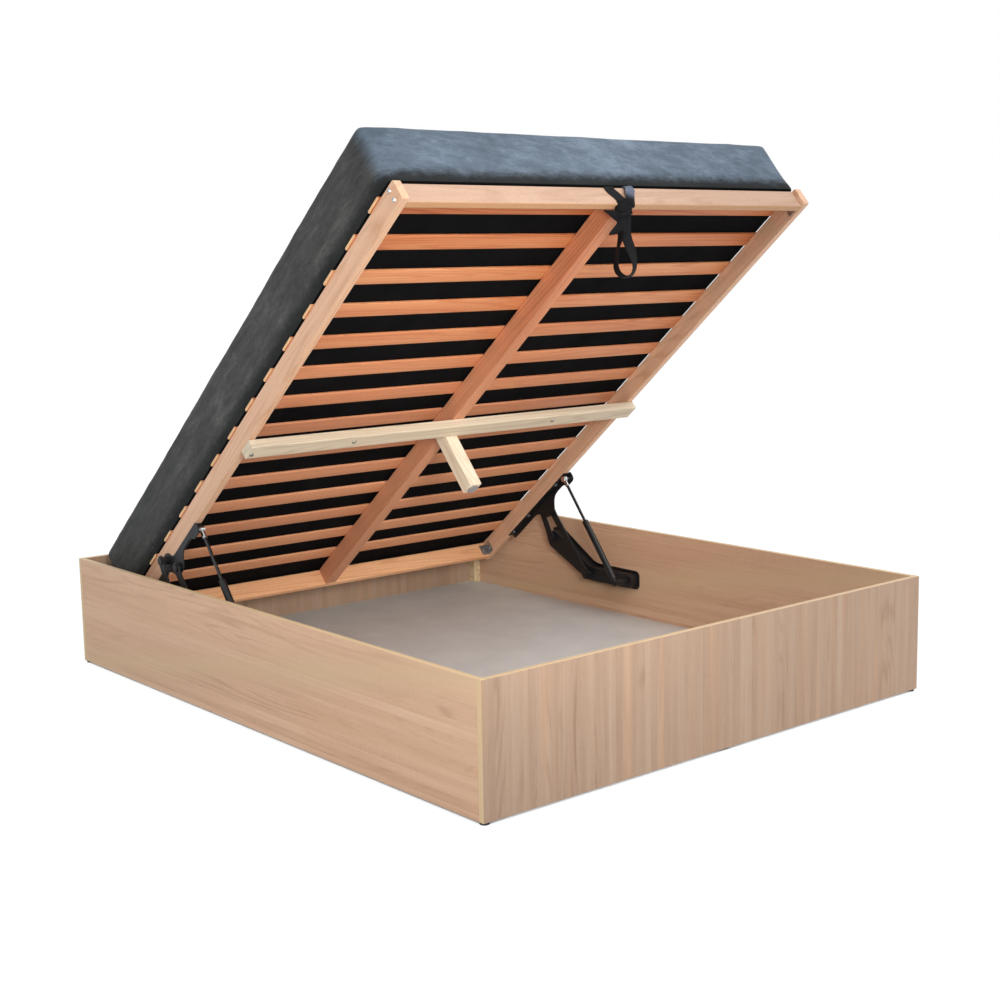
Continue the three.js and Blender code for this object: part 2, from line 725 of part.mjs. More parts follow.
// A body turned about the line of the spring; the profile's points are [radius, place]
function turned(profile) {
  const points = profile.map(([radius, place]) => new THREE.Vector2(radius, place));
  return solidOf(new THREE.LatheGeometry(points, roundSteps));
}

function addSpringPiece(name, side, solid, material) {
  const group = new THREE.Group();
  group.position.set(side * springMiddle, ...springFoot);
  group.rotation.x = springAngle;
  bed.add(group);
  addPiece(group, name, solid, material);
}

const springEye = [-springEyeWidth / 2, springEyeWidth / 2];

function makeGasCylinder(name, side) {
  const bore = cylinderRadius - cylinderWall;
  const hole = springRodRadius + pinPlay;
  const edge = 1.5;
  const tube = turned([[0, 0], [socketStemRadius, 0], [socketStemRadius, springEyeNeck],
    [cylinderRadius - edge, springEyeNeck], [cylinderRadius, springEyeNeck + edge],
    [cylinderRadius, cylinderLength - edge], [cylinderRadius - edge, cylinderLength],
    [hole, cylinderLength], [hole, cylinderLength - cylinderGuide],
    [bore, cylinderLength - cylinderGuide], [bore, boreBottom], [0, boreBottom]]);
  const body = tube.add(barX(springEyeRadius, springEye, [0, 0]))
    .subtract(barX(springPinRadius + pinPlay, [springEye[0] - 1, springEye[1] + 1], [0, 0]));
  addSpringPiece(`gas_cylinder_${name}`, side, body, materials.blackSteel);
}

function makeGasRod(name, side) {
  const piston = cylinderRadius - cylinderWall - pinPlay;
  const stem = springOpen - socketStem;
  const rod = turned([[0, pistonOpen - pistonLength], [piston, pistonOpen - pistonLength],
    [piston, pistonOpen], [springRodRadius, pistonOpen], [springRodRadius, stem],
    [socketStemRadius, stem], [socketStemRadius, springOpen], [0, springOpen]]);
  const socket = barX(socketRadius, springEye, [springOpen, 0]);
  addSpringPiece(`gas_rod_${name}`, side, rod.add(socket), materials.chrome);
}

function makeLift() {
  for (const [name, side] of sides) {
    makeBaseTray(name, side);
    makeLiftPlate(name, side);
    makeLink(`front_link_${name}`, side, frontLink, [frontInner, frontOuter],
      pinRadius + openPinPlay);
    makeLink(`rear_link_${name}`, side, rearLink, [rearInner, rearOuter], pinRadius + pinPlay);
    makeGasCylinder(name, side);
    makeGasRod(name, side);
  }
}

makeBox();
makeFrame();
makeMattress();
makeStrap();
makeLift();
printLift();

export default bed;
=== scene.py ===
# %% [markdown]
# # A lift-up storage bed
# The bed is an open box of oak-look boards. A slatted beech frame carries the mattress and swings
# up at its foot end on a steel linkage with a gas spring on each side. The imported CAD model gives
# every place and every size. This notebook dresses it: it rounds edges, lays the woods, sews the
# mattress and ties the pull strap.
#
# The first step loads the CAD model as a fixed frame. Its box is kept.

# %% Load the frame
import json
import math

import bmesh
import bpy
from mathutils import Matrix, Vector, noise


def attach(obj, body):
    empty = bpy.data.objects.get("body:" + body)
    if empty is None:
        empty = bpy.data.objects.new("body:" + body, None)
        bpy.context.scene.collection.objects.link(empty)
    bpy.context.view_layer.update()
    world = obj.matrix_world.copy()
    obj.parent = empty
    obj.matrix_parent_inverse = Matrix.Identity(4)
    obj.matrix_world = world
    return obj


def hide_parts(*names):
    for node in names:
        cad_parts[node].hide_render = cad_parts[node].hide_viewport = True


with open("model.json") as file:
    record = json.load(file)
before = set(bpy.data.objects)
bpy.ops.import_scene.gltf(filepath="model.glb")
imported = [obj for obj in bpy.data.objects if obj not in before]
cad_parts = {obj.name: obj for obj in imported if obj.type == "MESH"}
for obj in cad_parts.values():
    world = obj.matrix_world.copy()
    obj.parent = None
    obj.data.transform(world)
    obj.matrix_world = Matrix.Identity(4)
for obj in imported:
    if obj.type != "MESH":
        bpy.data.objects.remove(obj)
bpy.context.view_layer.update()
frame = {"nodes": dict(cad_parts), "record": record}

body_of_node = {node: body for body, nodes in frame["record"]["behaviour"]["bodies"].items()
                for node in nodes}

# %% [markdown]
# ## Where things are
# The slatted frame is easiest to describe lying flat, with its head end at y = 0 and its underside
# at z = 0. One matrix lifts a point from that flat drawing to the open bed, and its inverse lays a
# point of the open bed flat again. The numbers repeat the driving sizes of the CAD model, in
# metres. The middle of the first slat is measured from the foot end, and that of the last one from
# the head end.

# %% Sizes and the lifted frame
TILT = math.radians(40.15)
LIFTED = Matrix.Translation((0, 0.8327, 0.1489)) @ Matrix.Rotation(-TILT, 4, "X")
FLAT = LIFTED.inverted()
FOOT_END = -1.962
FRAME_HALF = 0.740
RAIL_HIGH = 0.058
SLAT_COUNT, FIRST_SLAT, LAST_SLAT = 14, 0.093, 0.147
SLAT_PITCH = (-FOOT_END - FIRST_SLAT - LAST_SLAT) / (SLAT_COUNT - 1)


def lifted(x, y, z):
    """A point of the flat slatted frame, where it is on the open bed"""
    return LIFTED @ Vector((x, y, z))


print("foot end of the lifted frame", [round(v, 3) for v in lifted(0, FOOT_END, 0)])

# %% [markdown]
# ## The camera
# The photograph was taken from beyond the bed's front left corner, a little above the mattress's
# lower edge. The camera was solved from the box's straight edges: its place, its two angles, a
# slight roll and a lens of 56 mm. It is built from those numbers here, so the render can be laid
# over the photograph.

# %% Camera
CAMERA_AT = Vector((-2.959, -3.658, 1.271))
YAW, PITCH, ROLL = 0.696, 0.1528, -0.0179
FOCAL_PIXELS, PICTURE_PIXELS, SENSOR = 1568.4, 1000, 36

ahead = Vector((math.sin(YAW) * math.cos(PITCH), math.cos(YAW) * math.cos(PITCH), -math.sin(PITCH)))
level = Vector((math.cos(YAW), -math.sin(YAW), 0))
upright = level.cross(ahead)
right = math.cos(ROLL) * level + math.sin(ROLL) * upright
up = math.cos(ROLL) * upright - math.sin(ROLL) * level

camera = bpy.data.objects.new("camera", bpy.data.cameras.new("camera"))
turned = Matrix((right, up, -ahead)).transposed().to_4x4()
camera.matrix_world = Matrix.Translation(CAMERA_AT) @ turned
camera.data.sensor_width = SENSOR
camera.data.lens = FOCAL_PIXELS * SENSOR / PICTURE_PIXELS
camera.data.clip_end = 60
bpy.context.scene.collection.objects.link(camera)
bpy.context.scene.camera = camera
print("lens", round(camera.data.lens, 2), "mm")

# %% [markdown]
# ## A small language for nodes
# Materials and Geometry Nodes are graphs, and graphs are tedious to write socket by socket. `Term`
# wraps one socket and gives it ordinary arithmetic: `1 - mask * 0.5` adds two Math nodes. `Graph`
# makes any other node in one call: its settings are set first, then the values or links of its
# sockets.

# %% Terms and graphs
class Term:
    """One socket of a node graph. Arithmetic on it adds Math nodes."""

    def __init__(self, graph, socket):
        self.graph, self.socket = graph, socket

    def maths(self, operation, *values):
        return self.graph.make("ShaderNodeMath", dict(enumerate(values)), operation=operation)

    def __add__(self, other):
        return self.maths("ADD", self, other)

    def __radd__(self, other):
        return self.maths("ADD", other, self)

    def __sub__(self, other):
        return self.maths("SUBTRACT", self, other)

    def __rsub__(self, other):
        return self.maths("SUBTRACT", other, self)

    def __mul__(self, other):
        return self.maths("MULTIPLY", self, other)

    def __rmul__(self, other):
        return self.maths("MULTIPLY", other, self)

    def __truediv__(self, other):
        return self.maths("DIVIDE", self, other)

    def __rtruediv__(self, other):
        return self.maths("DIVIDE", other, self)

    def __abs__(self):
        return self.maths("ABSOLUTE", self)

    def fraction(self):
        return self.maths("FRACT", self)

    def rounded_down(self):
        return self.maths("FLOOR", self)

    def eased(self, low, high):
        """0 below low, 1 above high and smooth between them"""
        return self.graph.make("ShaderNodeMapRange", {"Value": self, "From Min": low,
                                                      "From Max": high},
                               interpolation_type="SMOOTHSTEP")


class Graph:
    """A node tree that is written with make()"""

    def __init__(self, tree):
        self.tree = tree

    def feed(self, socket, value):
        if isinstance(value, Term):
            self.tree.links.new(value.socket, socket)
        else:
            socket.default_value = value

    def make(self, kind, inputs=None, output=0, stops=None, **settings):
        node = self.tree.nodes.new(kind)
        for name, value in settings.items():
            setattr(node, name, value)
        if stops:
            elements = node.color_ramp.elements
            while len(elements) < len(stops):
                elements.new(0.5)
            for element, (place, colour) in zip(elements, stops):
                element.position, element.color = place, colour
        for name, value in (inputs or {}).items():
            self.feed(node.inputs[name], value)
        return Term(self, node.outputs[output])

    def parts(self, vector):
        """The three components of a vector, as terms"""
        return [self.make("ShaderNodeSeparateXYZ", {0: vector}, output=i) for i in range(3)]


# %% [markdown]
# ## Finishes
# Every finish here is one Principled surface whose colour, roughness and bump are worked out from
# where a point is on the object. Colours are written as the eye reads them on a screen, from 0 to
# 255, and are turned into the linear values that the renderer adds up. What is the same all over a
# surface, such as sheen, is set on the socket itself.

# %% The finish class
def shade(red, green, blue):
    """A screen colour, 0 to 255, as a linear colour"""
    def linear(value):
        value /= 255
        return value / 12.92 if value <= 0.04045 else ((value + 0.055) / 1.055) ** 2.4
    return (linear(red), linear(green), linear(blue), 1)


class Finish(Graph):
    """A material with one Principled surface"""

    def __init__(self, name, roughness, metallic=0.0, **fixed):
        self.material = bpy.data.materials.new(name)
        self.material.use_nodes = True
        super().__init__(self.material.node_tree)
        self.surface = self.tree.nodes["Principled BSDF"]
        self.set("Roughness", roughness)
        self.set("Metallic", metallic)
        for name, value in fixed.items():
            self.set(name.replace("_", " "), value)

    def set(self, name, value):
        self.feed(self.surface.inputs[name], value)

    def place(self, turn=0.0, order=(0, 1, 2), shift=(0, 0, 0)):
        """Object coordinates, turned about X, as three terms in the given order"""
        spot = self.make("ShaderNodeTexCoord", output="Object")
        turned = self.make("ShaderNodeMapping", {"Vector": spot, "Rotation": (turn, 0, 0),
                                                 "Location": shift})
        parts = self.parts(turned)
        return [parts[i] for i in order]

    def facing(self, turn=0.0):
        """How much the surface faces each of its three directions, 0 to 1"""
        normal = self.make("ShaderNodeTexCoord", output="Normal")
        turned = self.make("ShaderNodeMapping", {"Vector": normal, "Rotation": (turn, 0, 0)})
        return self.parts(turned)

    def cloud(self, spot, scale, detail=2.0, roughness=0.5, distortion=0.0):
        """Noise at a spot given as three terms; scale has one value for each of them"""
        vector = self.make("ShaderNodeCombineXYZ", {i: spot[i] * scale[i] for i in range(3)})
        return self.make("ShaderNodeTexNoise", {"Vector": vector, "Scale": 1.0, "Detail": detail,
                                                "Roughness": roughness, "Distortion": distortion})

    def mixed(self, factor, first, second):
        return self.make("ShaderNodeMix", {0: factor, 6: first, 7: second}, output=2,
                         data_type="RGBA")

    def plain(self, colour):
        """One colour as a term"""
        return self.mixed(0.0, colour, colour)

    def scaled(self, colour, amount):
        return self.make("ShaderNodeVectorMath", {0: colour, "Scale": amount}, operation="SCALE")

    def ramp(self, factor, *stops):
        return self.make("ShaderNodeValToRGB", {0: factor}, stops=stops)

    def bump(self, height, depth, strength=1.0):
        """Raises the surface by height times depth, in metres"""
        self.set("Normal", self.make("ShaderNodeBump", {"Height": height, "Distance": depth,
                                                        "Strength": strength}))


print("finish class ready")

# %% [markdown]
# ## Floor and light
# The photograph has a pure white ground and a very even light, a little cooler and stronger from
# above. A bright world fills the shadows, one large lamp above the foot end gives the boards their
# soft modelling, and a weaker one lights the side. Two small ones shine under the lifted frame and
# on the right half of the foot panel. The floor is white to the camera. In the narrow gap under the
# boards it has painted shade: it is coloured dark there and does not glow.

# %% World, floor and lamps
scene = bpy.context.scene
scene.view_settings.view_transform = "Standard"

world = bpy.data.worlds.new("studio")
world.use_nodes = True
scene.world = world
sky = Graph(world.node_tree)
rays = [sky.make("ShaderNodeLightPath", output=f"Is {kind} Ray")
        for kind in ("Camera", "Glossy", "Transmission")]
seen = rays[0].maths("MAXIMUM", rays[0], rays[1].maths("MAXIMUM", rays[1], rays[2]))
backdrop = world.node_tree.nodes["Background"]
WORLD_LIGHT, WHITE = (0.68, 0.70, 0.74, 1), (1, 1, 1, 1)
sky.feed(backdrop.inputs["Color"], sky.make(
    "ShaderNodeMix", {0: seen, 6: WORLD_LIGHT, 7: WHITE}, output=2, data_type="RGBA"))

FLOOR_NEAR, FLOOR_FAR, GAP_REACH, GLOW, GLOW_SHARE = -25, 25, 0.06, 1.12, 0.8
PAINTED_GAP_SHADE, FLOOR_COLOUR = (0.02, 0.02, 0.02, 1), (0.86, 0.86, 0.86, 1)
floor_mesh = bpy.data.meshes.new("floor")
floor_mesh.from_pydata([(FLOOR_NEAR, FLOOR_NEAR, 0), (FLOOR_FAR, FLOOR_NEAR, 0),
                        (FLOOR_FAR, FLOOR_FAR, 0), (FLOOR_NEAR, FLOOR_FAR, 0)], [],
                       [(0, 1, 2, 3)])
floor = bpy.data.objects.new("floor", floor_mesh)
scene.collection.objects.link(floor)
ground = Finish("white_floor", 0.9)
glow = ground.make("ShaderNodeEmission", {"Color": WHITE, "Strength": GLOW})
to_camera = ground.make("ShaderNodeLightPath", output="Is Camera Ray")
# Painted shade: where ambient occlusion finds the bed close by, the floor gets a dark colour and no
# glow.
open_sky = ground.make("ShaderNodeAmbientOcclusion", {"Distance": GAP_REACH}, output="AO",
                       samples=8).eased(0.05, 0.3)
ground.set("Base Color", ground.mixed(open_sky, PAINTED_GAP_SHADE, FLOOR_COLOUR))
lit = Term(ground, ground.surface.outputs[0])
ground.feed(ground.tree.nodes["Material Output"].inputs["Surface"], ground.make(
    "ShaderNodeMixShader", {0: to_camera * open_sky * GLOW_SHARE, 1: lit, 2: glow}))
floor_mesh.materials.append(ground.material)


def lamp(name, place, aim, size, power, colour, spread=180):
    data = bpy.data.lights.new(name, "AREA")
    data.size, data.energy, data.color = size, power, colour
    data.spread = math.radians(spread)
    holder = bpy.data.objects.new(name, data)
    towards = (Vector(aim) - Vector(place)).to_track_quat("-Z", "Y")
    holder.matrix_world = Matrix.Translation(place) @ towards.to_matrix().to_4x4()
    holder.visible_camera = False
    scene.collection.objects.link(holder)


COOL, WARM, PALE_WARM = (0.96, 0.98, 1.0), (1.0, 0.97, 0.93), (1.0, 0.98, 0.95)
lamp("key", place=(0.9, -3.6, 4.8), aim=(0, -0.3, 0.5), size=3.2, power=129, colour=COOL)
lamp("side", place=(-4.3, -2.2, 1.9), aim=(-0.6, -0.6, 0.3), size=2.6, power=18, colour=WARM)
lamp("under", place=(-1.3, -2.6, 1.25), aim=(0.06, 0.35, 0.64), size=0.8, power=5.3,
     colour=PALE_WARM, spread=46)
lamp("fill", place=(1.6, -2.4, 1.0), aim=(0.6, -1.02, 0.12), size=0.8, power=1.8, colour=WARM,
     spread=90)

# %% [markdown]
# ## Oak-look laminate
# The boards are faced with a printed oak pattern: staves of slightly different tone, growth rings
# that close into long tongues, reddish streaks, fine fibres, short pores, broad paler zones and
# faint saw marks across the grain. The rings are the contour lines of a stretched noise field,
# which close up by themselves as real ones do. The narrow edges carry a plain, paler band, found
# from the direction that they face. The grain stands upright on the foot and head panels and lies
# along the side panels.

# %% Laminate
STAVES_PER_METRE = 8.5
EDGE_BAND = shade(222, 192, 150)


def laminate(name, order, thin, tones, shift=(0, 0, 0)):
    """order puts the axes as along the grain, across it, and through the board; thin are the two
    directions that the narrow edges face"""
    oak = Finish(name, 0.5, Specular_IOR_Level=0.35)
    along, across, through = oak.place(order=order, shift=shift)
    stave = oak.make("ShaderNodeTexVoronoi", {"W": across * STAVES_PER_METRE}, output="Color",
                     voronoi_dimensions="1D")
    tone, jump, _ = (oak.make("ShaderNodeSeparateColor", {0: stave}, output=i) for i in range(3))
    spot = (along + jump * 7.0, across, through)
    field = oak.cloud(spot, (0.9, 6.0, 1.0), detail=1.0, distortion=0.4)
    rings = abs((field * 16.0).fraction() * 2.0 - 1.0)
    figured = oak.cloud(spot, (1.3, 11.0, 1.0), detail=1.0).eased(0.48, 0.72)
    figure = rings.eased(0.45, 1.0) * figured
    streak = oak.cloud(spot, (2.2, 60.0, 1.0), detail=5.0, roughness=0.68)
    fibre = oak.cloud(spot, (9.0, 420.0, 1.0), detail=3.0, roughness=0.7)
    saw = oak.cloud(spot, (330.0, 16.0, 1.0), detail=1.0)
    saw_patch = oak.cloud(spot, (2.5, 5.0, 1.0), detail=1.0).eased(0.5, 0.75)
    zone = oak.cloud(spot, (0.8, 4.0, 1.0), detail=1.0)
    pores = oak.cloud(spot, (38.0, 620.0, 1.0), detail=2.0).eased(0.54, 0.7)
    mix = (tone * 0.1 + streak * 0.4 + fibre * 0.16 + zone * 0.16 - figure * 0.15 - pores * 0.08
           + 0.1)
    dark, middle, light = tones
    face = oak.ramp(mix, (0.18, dark), (0.5, middle), (0.82, light))
    red = oak.cloud(spot, (1.1, 24.0, 1.0), detail=2.0).eased(0.52, 0.74)
    face = oak.mixed(red * 0.28, face, shade(196, 150, 112))
    face = oak.scaled(face, 1.0 + (saw - 0.5) * saw_patch * 0.22)
    one_edge, other_edge = (abs(oak.facing()[axis]).eased(0.6, 0.8) for axis in thin)
    on_edge = one_edge.maths("MAXIMUM", one_edge, other_edge)
    band = oak.mixed(streak, EDGE_BAND, oak.scaled(oak.plain(EDGE_BAND), 0.9))
    oak.set("Base Color", oak.mixed(on_edge, face, band))
    oak.set("Roughness", 0.44 + fibre * 0.14)
    oak.bump(fibre * 0.6 + rings * 0.2 + saw * saw_patch * 0.3, 0.0002)
    return oak.material


# Painted light: both are one oak decor, but the upright boards get darker tones than the side
# panels, as the foot panel faces the large lamp and the side panels get less of its light.
oak_upright = laminate("oak_upright", (2, 0, 1), (0, 2),
                       (shade(138, 110, 88), shade(168, 140, 117), shade(187, 165, 143)))
oak_lengthways = laminate("oak_lengthways", (1, 2, 0), (1, 2),
                          (shade(180, 138, 110), shade(214, 174, 142), shade(232, 203, 172)),
                          shift=(0, 3.3, 0.4))
print("laminates", oak_upright.name, oak_lengthways.name)

# %% [markdown]
# ## Solid woods
# The slatted frame is beech. Its brace and leg are pale spruce, and so are the joist, the cleats
# and the blocks in the box. One recipe serves them all: broad streaks along the grain, faint rings
# and short dark flecks, in the wood's own three tones. The pattern is read in the flat frame's own
# directions, so each streak runs along its stick. The slats are veneer strips of clearly different
# tone, so a number for each slat shifts their colour. The slats and the spar get paler towards the
# head end, and the head rail is of a warmer tone, as in the photograph. Faces that look another way
# than the rest of a stick, such as sawn ends, may have a colour of their own.

# %% Solid wood
PALER_FROM, PALER_TO = -1.25, -0.1


def solid_wood(name, order, tones, turn=TILT, fleck=0.25, ring=0.2, gloss=0.45, slats=False,
               other_faces=None, head_end=None):
    """other_faces is a direction and the colour of the faces that look that way; head_end is the
    paler colour that the wood moves towards at the head end"""
    wood = Finish(name, gloss, Specular_IOR_Level=0.4)
    along, across, through = wood.place(turn, order)
    tint = 0.5
    if slats:
        number = (across / SLAT_PITCH + 0.5).rounded_down()
        tint = wood.make("ShaderNodeTexWhiteNoise", {"W": number}, noise_dimensions="1D")
        along = along + number * 3.7
    spot = (along, across, through)
    broad = wood.cloud(spot, (1.4, 34.0, 34.0), detail=3.0, roughness=0.6, distortion=0.3)
    field = wood.cloud(spot, (0.7, 12.0, 12.0), detail=1.0)
    rings = abs((field * 18.0).fraction() * 2.0 - 1.0).eased(0.4, 1.0)
    fibre = wood.cloud(spot, (14.0, 520.0, 520.0), detail=2.0, roughness=0.7)
    flecks = wood.cloud(spot, (85.0, 900.0, 900.0), detail=1.0).eased(0.62, 0.72)
    mix = broad * 0.7 + fibre * 0.2 - rings * ring + (tint - 0.5) * 0.5 + 0.08
    dark, middle, light = tones
    face = wood.ramp(mix, (0.15, dark), (0.5, middle), (0.85, light))
    if head_end:
        far = wood.place(turn)[1].eased(PALER_FROM, PALER_TO)
        face = wood.mixed(far * 0.6, face, head_end)
    if other_faces:
        direction, colour = other_faces
        face = wood.mixed(abs(wood.facing(turn)[direction]).eased(0.6, 0.8), face, colour)
    wood.set("Base Color", wood.scaled(face, 1.0 - flecks * fleck))
    wood.set("Roughness", gloss - 0.04 + fibre * 0.14)
    wood.bump(fibre * 0.6 - flecks * 0.4, 0.00015)
    return wood.material


beech_tones = (shade(204, 154, 118), shade(224, 180, 146), shade(234, 196, 164))
beech_lengthways = solid_wood("beech_lengthways", (1, 0, 2), beech_tones)
# Painted light: the foot rail is the same beech as the side rails. It gets darker tones because it
# faces the large lamp, and its top and underside are more orange than its front face, for how the
# light falls on each.
beech_crossways = solid_wood("beech_crossways", (0, 1, 2),
                             (shade(176, 139, 113), shade(191, 155, 130), shade(201, 168, 145)),
                             other_faces=(2, shade(198, 150, 108)))
beech_warm = solid_wood("beech_warm", (0, 1, 2),
                        (shade(216, 146, 98), shade(242, 182, 134), shade(250, 202, 156)))
spar_beech = solid_wood("spar_beech", (1, 0, 2),
                        (shade(176, 104, 70), shade(207, 133, 93), shade(224, 157, 114)),
                        head_end=shade(206, 152, 118))
slat_beech = solid_wood("slat_beech", (0, 1, 2),
                        (shade(182, 96, 52), shade(208, 128, 80), shade(226, 158, 110)),
                        slats=True, other_faces=(0, shade(234, 190, 138)),
                        head_end=shade(218, 160, 122))
spruce_crossways = solid_wood("spruce_crossways", (0, 1, 2),
                              (shade(192, 173, 146), shade(213, 197, 171), shade(226, 213, 190)),
                              fleck=0.05, ring=0.22, gloss=0.55)
spruce_leg = solid_wood("spruce_leg", (2, 0, 1),
                        (shade(208, 190, 162), shade(229, 213, 188), shade(239, 226, 205)),
                        fleck=0.05, ring=0.22, gloss=0.55)
spruce_flat = solid_wood("spruce_flat", (1, 0, 2),
                         (shade(186, 160, 122), shade(216, 194, 156), shade(232, 214, 180)),
                         turn=0.0, fleck=0.05, ring=0.3, gloss=0.6)
print("woods", [m.name for m in bpy.data.materials if "beech" in m.name or "spruce" in m.name])

# %% [markdown]
# ## Steel, board and plastic
# The linkage is pressed steel with a black powder coat, whose skin is very finely dimpled. The
# corner angles and screws are zinc plated: slightly mottled, with brushed streaks. The gas spring's
# rod is ground and dark. The bottom boards have a thin white coat.

# %% Metals and plain coats
def coated(name, colour, roughness, grain, depth, metallic=0.0):
    """A sprayed or moulded skin: even colour, fine dimples, a few duller patches"""
    coat = Finish(name, roughness, metallic)
    spot = coat.place()
    dimple = coat.cloud(spot, (grain, grain, grain), detail=2.0)
    patch = coat.cloud(spot, (9.0, 9.0, 9.0), detail=3.0, roughness=0.6)
    coat.set("Base Color", coat.scaled(coat.plain(colour), 0.85 + patch * 0.3))
    coat.set("Roughness", roughness - 0.04 + patch * 0.08)
    coat.bump(dimple, depth)
    return coat.material


def plated(name, colour, roughness, scratched=(1, 1, 1)):
    """Bare metal with a mottled plating and fine scratches, close together where scratched is 1"""
    metal = Finish(name, roughness, 1.0)
    spot = metal.place(TILT)
    flake = metal.make("ShaderNodeTexVoronoi", {"Vector": metal.make(
        "ShaderNodeCombineXYZ", {i: spot[i] * 260.0 for i in range(3)}), "Scale": 1.0},
        output="Color")
    flake = metal.make("ShaderNodeSeparateColor", {0: flake})
    scratch = metal.cloud(spot, tuple(900.0 if fine else 30.0 for fine in scratched), detail=2.0)
    metal.set("Base Color", metal.scaled(metal.plain(colour), 0.82 + flake * 0.25))
    metal.set("Roughness", roughness - 0.1 + scratch * 0.2)
    metal.bump(scratch, 0.00005)
    return metal.material


black_steel = coated("black_steel", shade(30, 31, 33), 0.42, 900.0, 0.0002, metallic=0.3)
black_tube = coated("black_tube", shade(22, 23, 25), 0.3, 500.0, 0.00005, metallic=0.2)
zinc_plate = plated("zinc_plate", shade(186, 190, 194), 0.34)
bright_steel = plated("bright_steel", shade(214, 216, 218), 0.2)
dull_zinc = plated("dull_zinc", shade(150, 147, 140), 0.45)
dark_rod = plated("dark_rod", shade(70, 72, 75), 0.22, scratched=(1, 0, 0))
white_board = coated("white_board", shade(206, 204, 199), 0.5, 1400.0, 0.00004)
black_plastic = coated("black_plastic", shade(30, 30, 32), 0.6, 1200.0, 0.0001)
print("coats", black_steel.name, zinc_plate.name, white_board.name)

# %% [markdown]
# ## Softened edges
# No sawn board or pressed sheet has a knife edge. The light that a small rounding catches is what
# tells the eye that a part is solid. A CAD mesh is loose triangles, so a copy is merged, its flat
# faces are joined up, and a Bevel modifier rounds what is left. The copy then stands for the CAD
# node.

# %% Softened copies of CAD nodes
SHARP_ANGLE, ROUNDED_ANGLE, SAME_PLANE = (math.radians(angle) for angle in (35, 40, 0.6))
SAME_POINT = 1e-5


def painted(piece, material, chosen):
    """Gives another material to the faces whose middle, on the flat frame, is chosen"""
    piece.data.materials.append(material)
    for face in piece.data.polygons:
        if chosen(FLAT @ face.center):
            face.material_index = len(piece.data.materials) - 1


def softened(node, material, width):
    """A copy of a CAD node with its edges rounded to the given width, which stands for the node"""
    mesh = frame["nodes"][node].data.copy()
    mesh.name = f"{node}_finished"
    shape = bmesh.new()
    shape.from_mesh(mesh)
    bmesh.ops.remove_doubles(shape, verts=shape.verts, dist=SAME_POINT)
    bmesh.ops.dissolve_limit(shape, angle_limit=SAME_PLANE, verts=shape.verts, edges=shape.edges)
    shape.to_mesh(mesh)
    shape.free()
    mesh.materials.clear()
    mesh.materials.append(material)
    mesh.shade_smooth()
    mesh.set_sharp_from_angle(angle=SHARP_ANGLE)
    piece = bpy.data.objects.new(mesh.name, mesh)
    scene.collection.objects.link(piece)
    rounding = piece.modifiers.new("rounding", "BEVEL")
    rounding.width, rounding.segments = width, 2
    rounding.limit_method, rounding.angle_limit = "ANGLE", ROUNDED_ANGLE
    rounding.use_clamp_overlap = True
    evening = piece.modifiers.new("flat faces stay flat", "WEIGHTED_NORMAL")
    evening.keep_sharp = True
    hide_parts(node)
    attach(piece, body_of_node[node])
    return piece


plan = {
    "foot_panel": (oak_upright, 0.0008), "head_panel": (oak_upright, 0.0008),
    "side_panel_left": (oak_lengthways, 0.0008), "side_panel_right": (oak_lengthways, 0.0008),
    "bottom_board_left": (white_board, 0.0006), "bottom_board_right": (white_board, 0.0006),
    "foot_rail": (beech_crossways, 0.0025), "head_rail": (beech_warm, 0.0025),
    "centre_spar": (spar_beech, 0.002),
    "frame_rail_left": (beech_lengthways, 0.002), "frame_rail_right": (beech_lengthways, 0.002),
    "cross_brace": (spruce_crossways, 0.0015), "support_leg": (spruce_leg, 0.002),
    "leg_glide": (bright_steel, 0.0008), "centre_joist": (spruce_flat, 0.0015),
    "bottom_cleat_left": (spruce_flat, 0.001), "bottom_cleat_right": (spruce_flat, 0.001),
}
for end in ("foot", "head"):
    for side in ("left", "right"):
        plan[f"corner_block_{end}_{side}"] = (spruce_flat, 0.001)
        plan[f"glide_{end}_{side}"] = (black_plastic, 0.001)
        plan[f"angle_{end}_{side}"] = (zinc_plate, 0.0005)
for side in ("left", "right"):
    plan[f"base_tray_{side}"] = (black_steel, 0.0008)
    plan[f"lift_plate_{side}"] = (black_steel, 0.0006)
    plan[f"front_link_{side}"] = (black_steel, 0.001)
    plan[f"rear_link_{side}"] = (black_steel, 0.001)
    plan[f"gas_cylinder_{side}"] = (black_tube, 0.0005)
    plan[f"gas_rod_{side}"] = (dark_rod, 0.0005)
made = {node: softened(node, material, width) for node, (material, width) in plan.items()}

# The spring's end socket is bright, and so are the bolt heads under each lift plate
SPRING_TOP, SOCKET_REACH = (-0.564, -0.016), 0.034
RAIL_MIDDLE, BOLT_REACH, UNDER_PLATE = 0.729, 0.008, -0.0034
for side in ("left", "right"):
    painted(made[f"gas_rod_{side}"], bright_steel,
            lambda spot: math.dist((spot.y, spot.z), SPRING_TOP) < SOCKET_REACH)
    painted(made[f"lift_plate_{side}"], zinc_plate,
            lambda spot: spot.z < UNDER_PLATE and abs(abs(spot.x) - RAIL_MIDDLE) < BOLT_REACH)
print("softened", len(plan), "nodes")

# %% [markdown]
# ## Slats
# Fourteen slats, all alike, lie at even steps from the foot to the head. That is a rule, so
# Geometry Nodes make them: a rounded rectangle is swept along a line to make one slat, a row of
# points says where each one lies, and the flat row is lifted into place. The copies are then made
# real. The slats stand a little proud of the rails, so that their pale ends show.

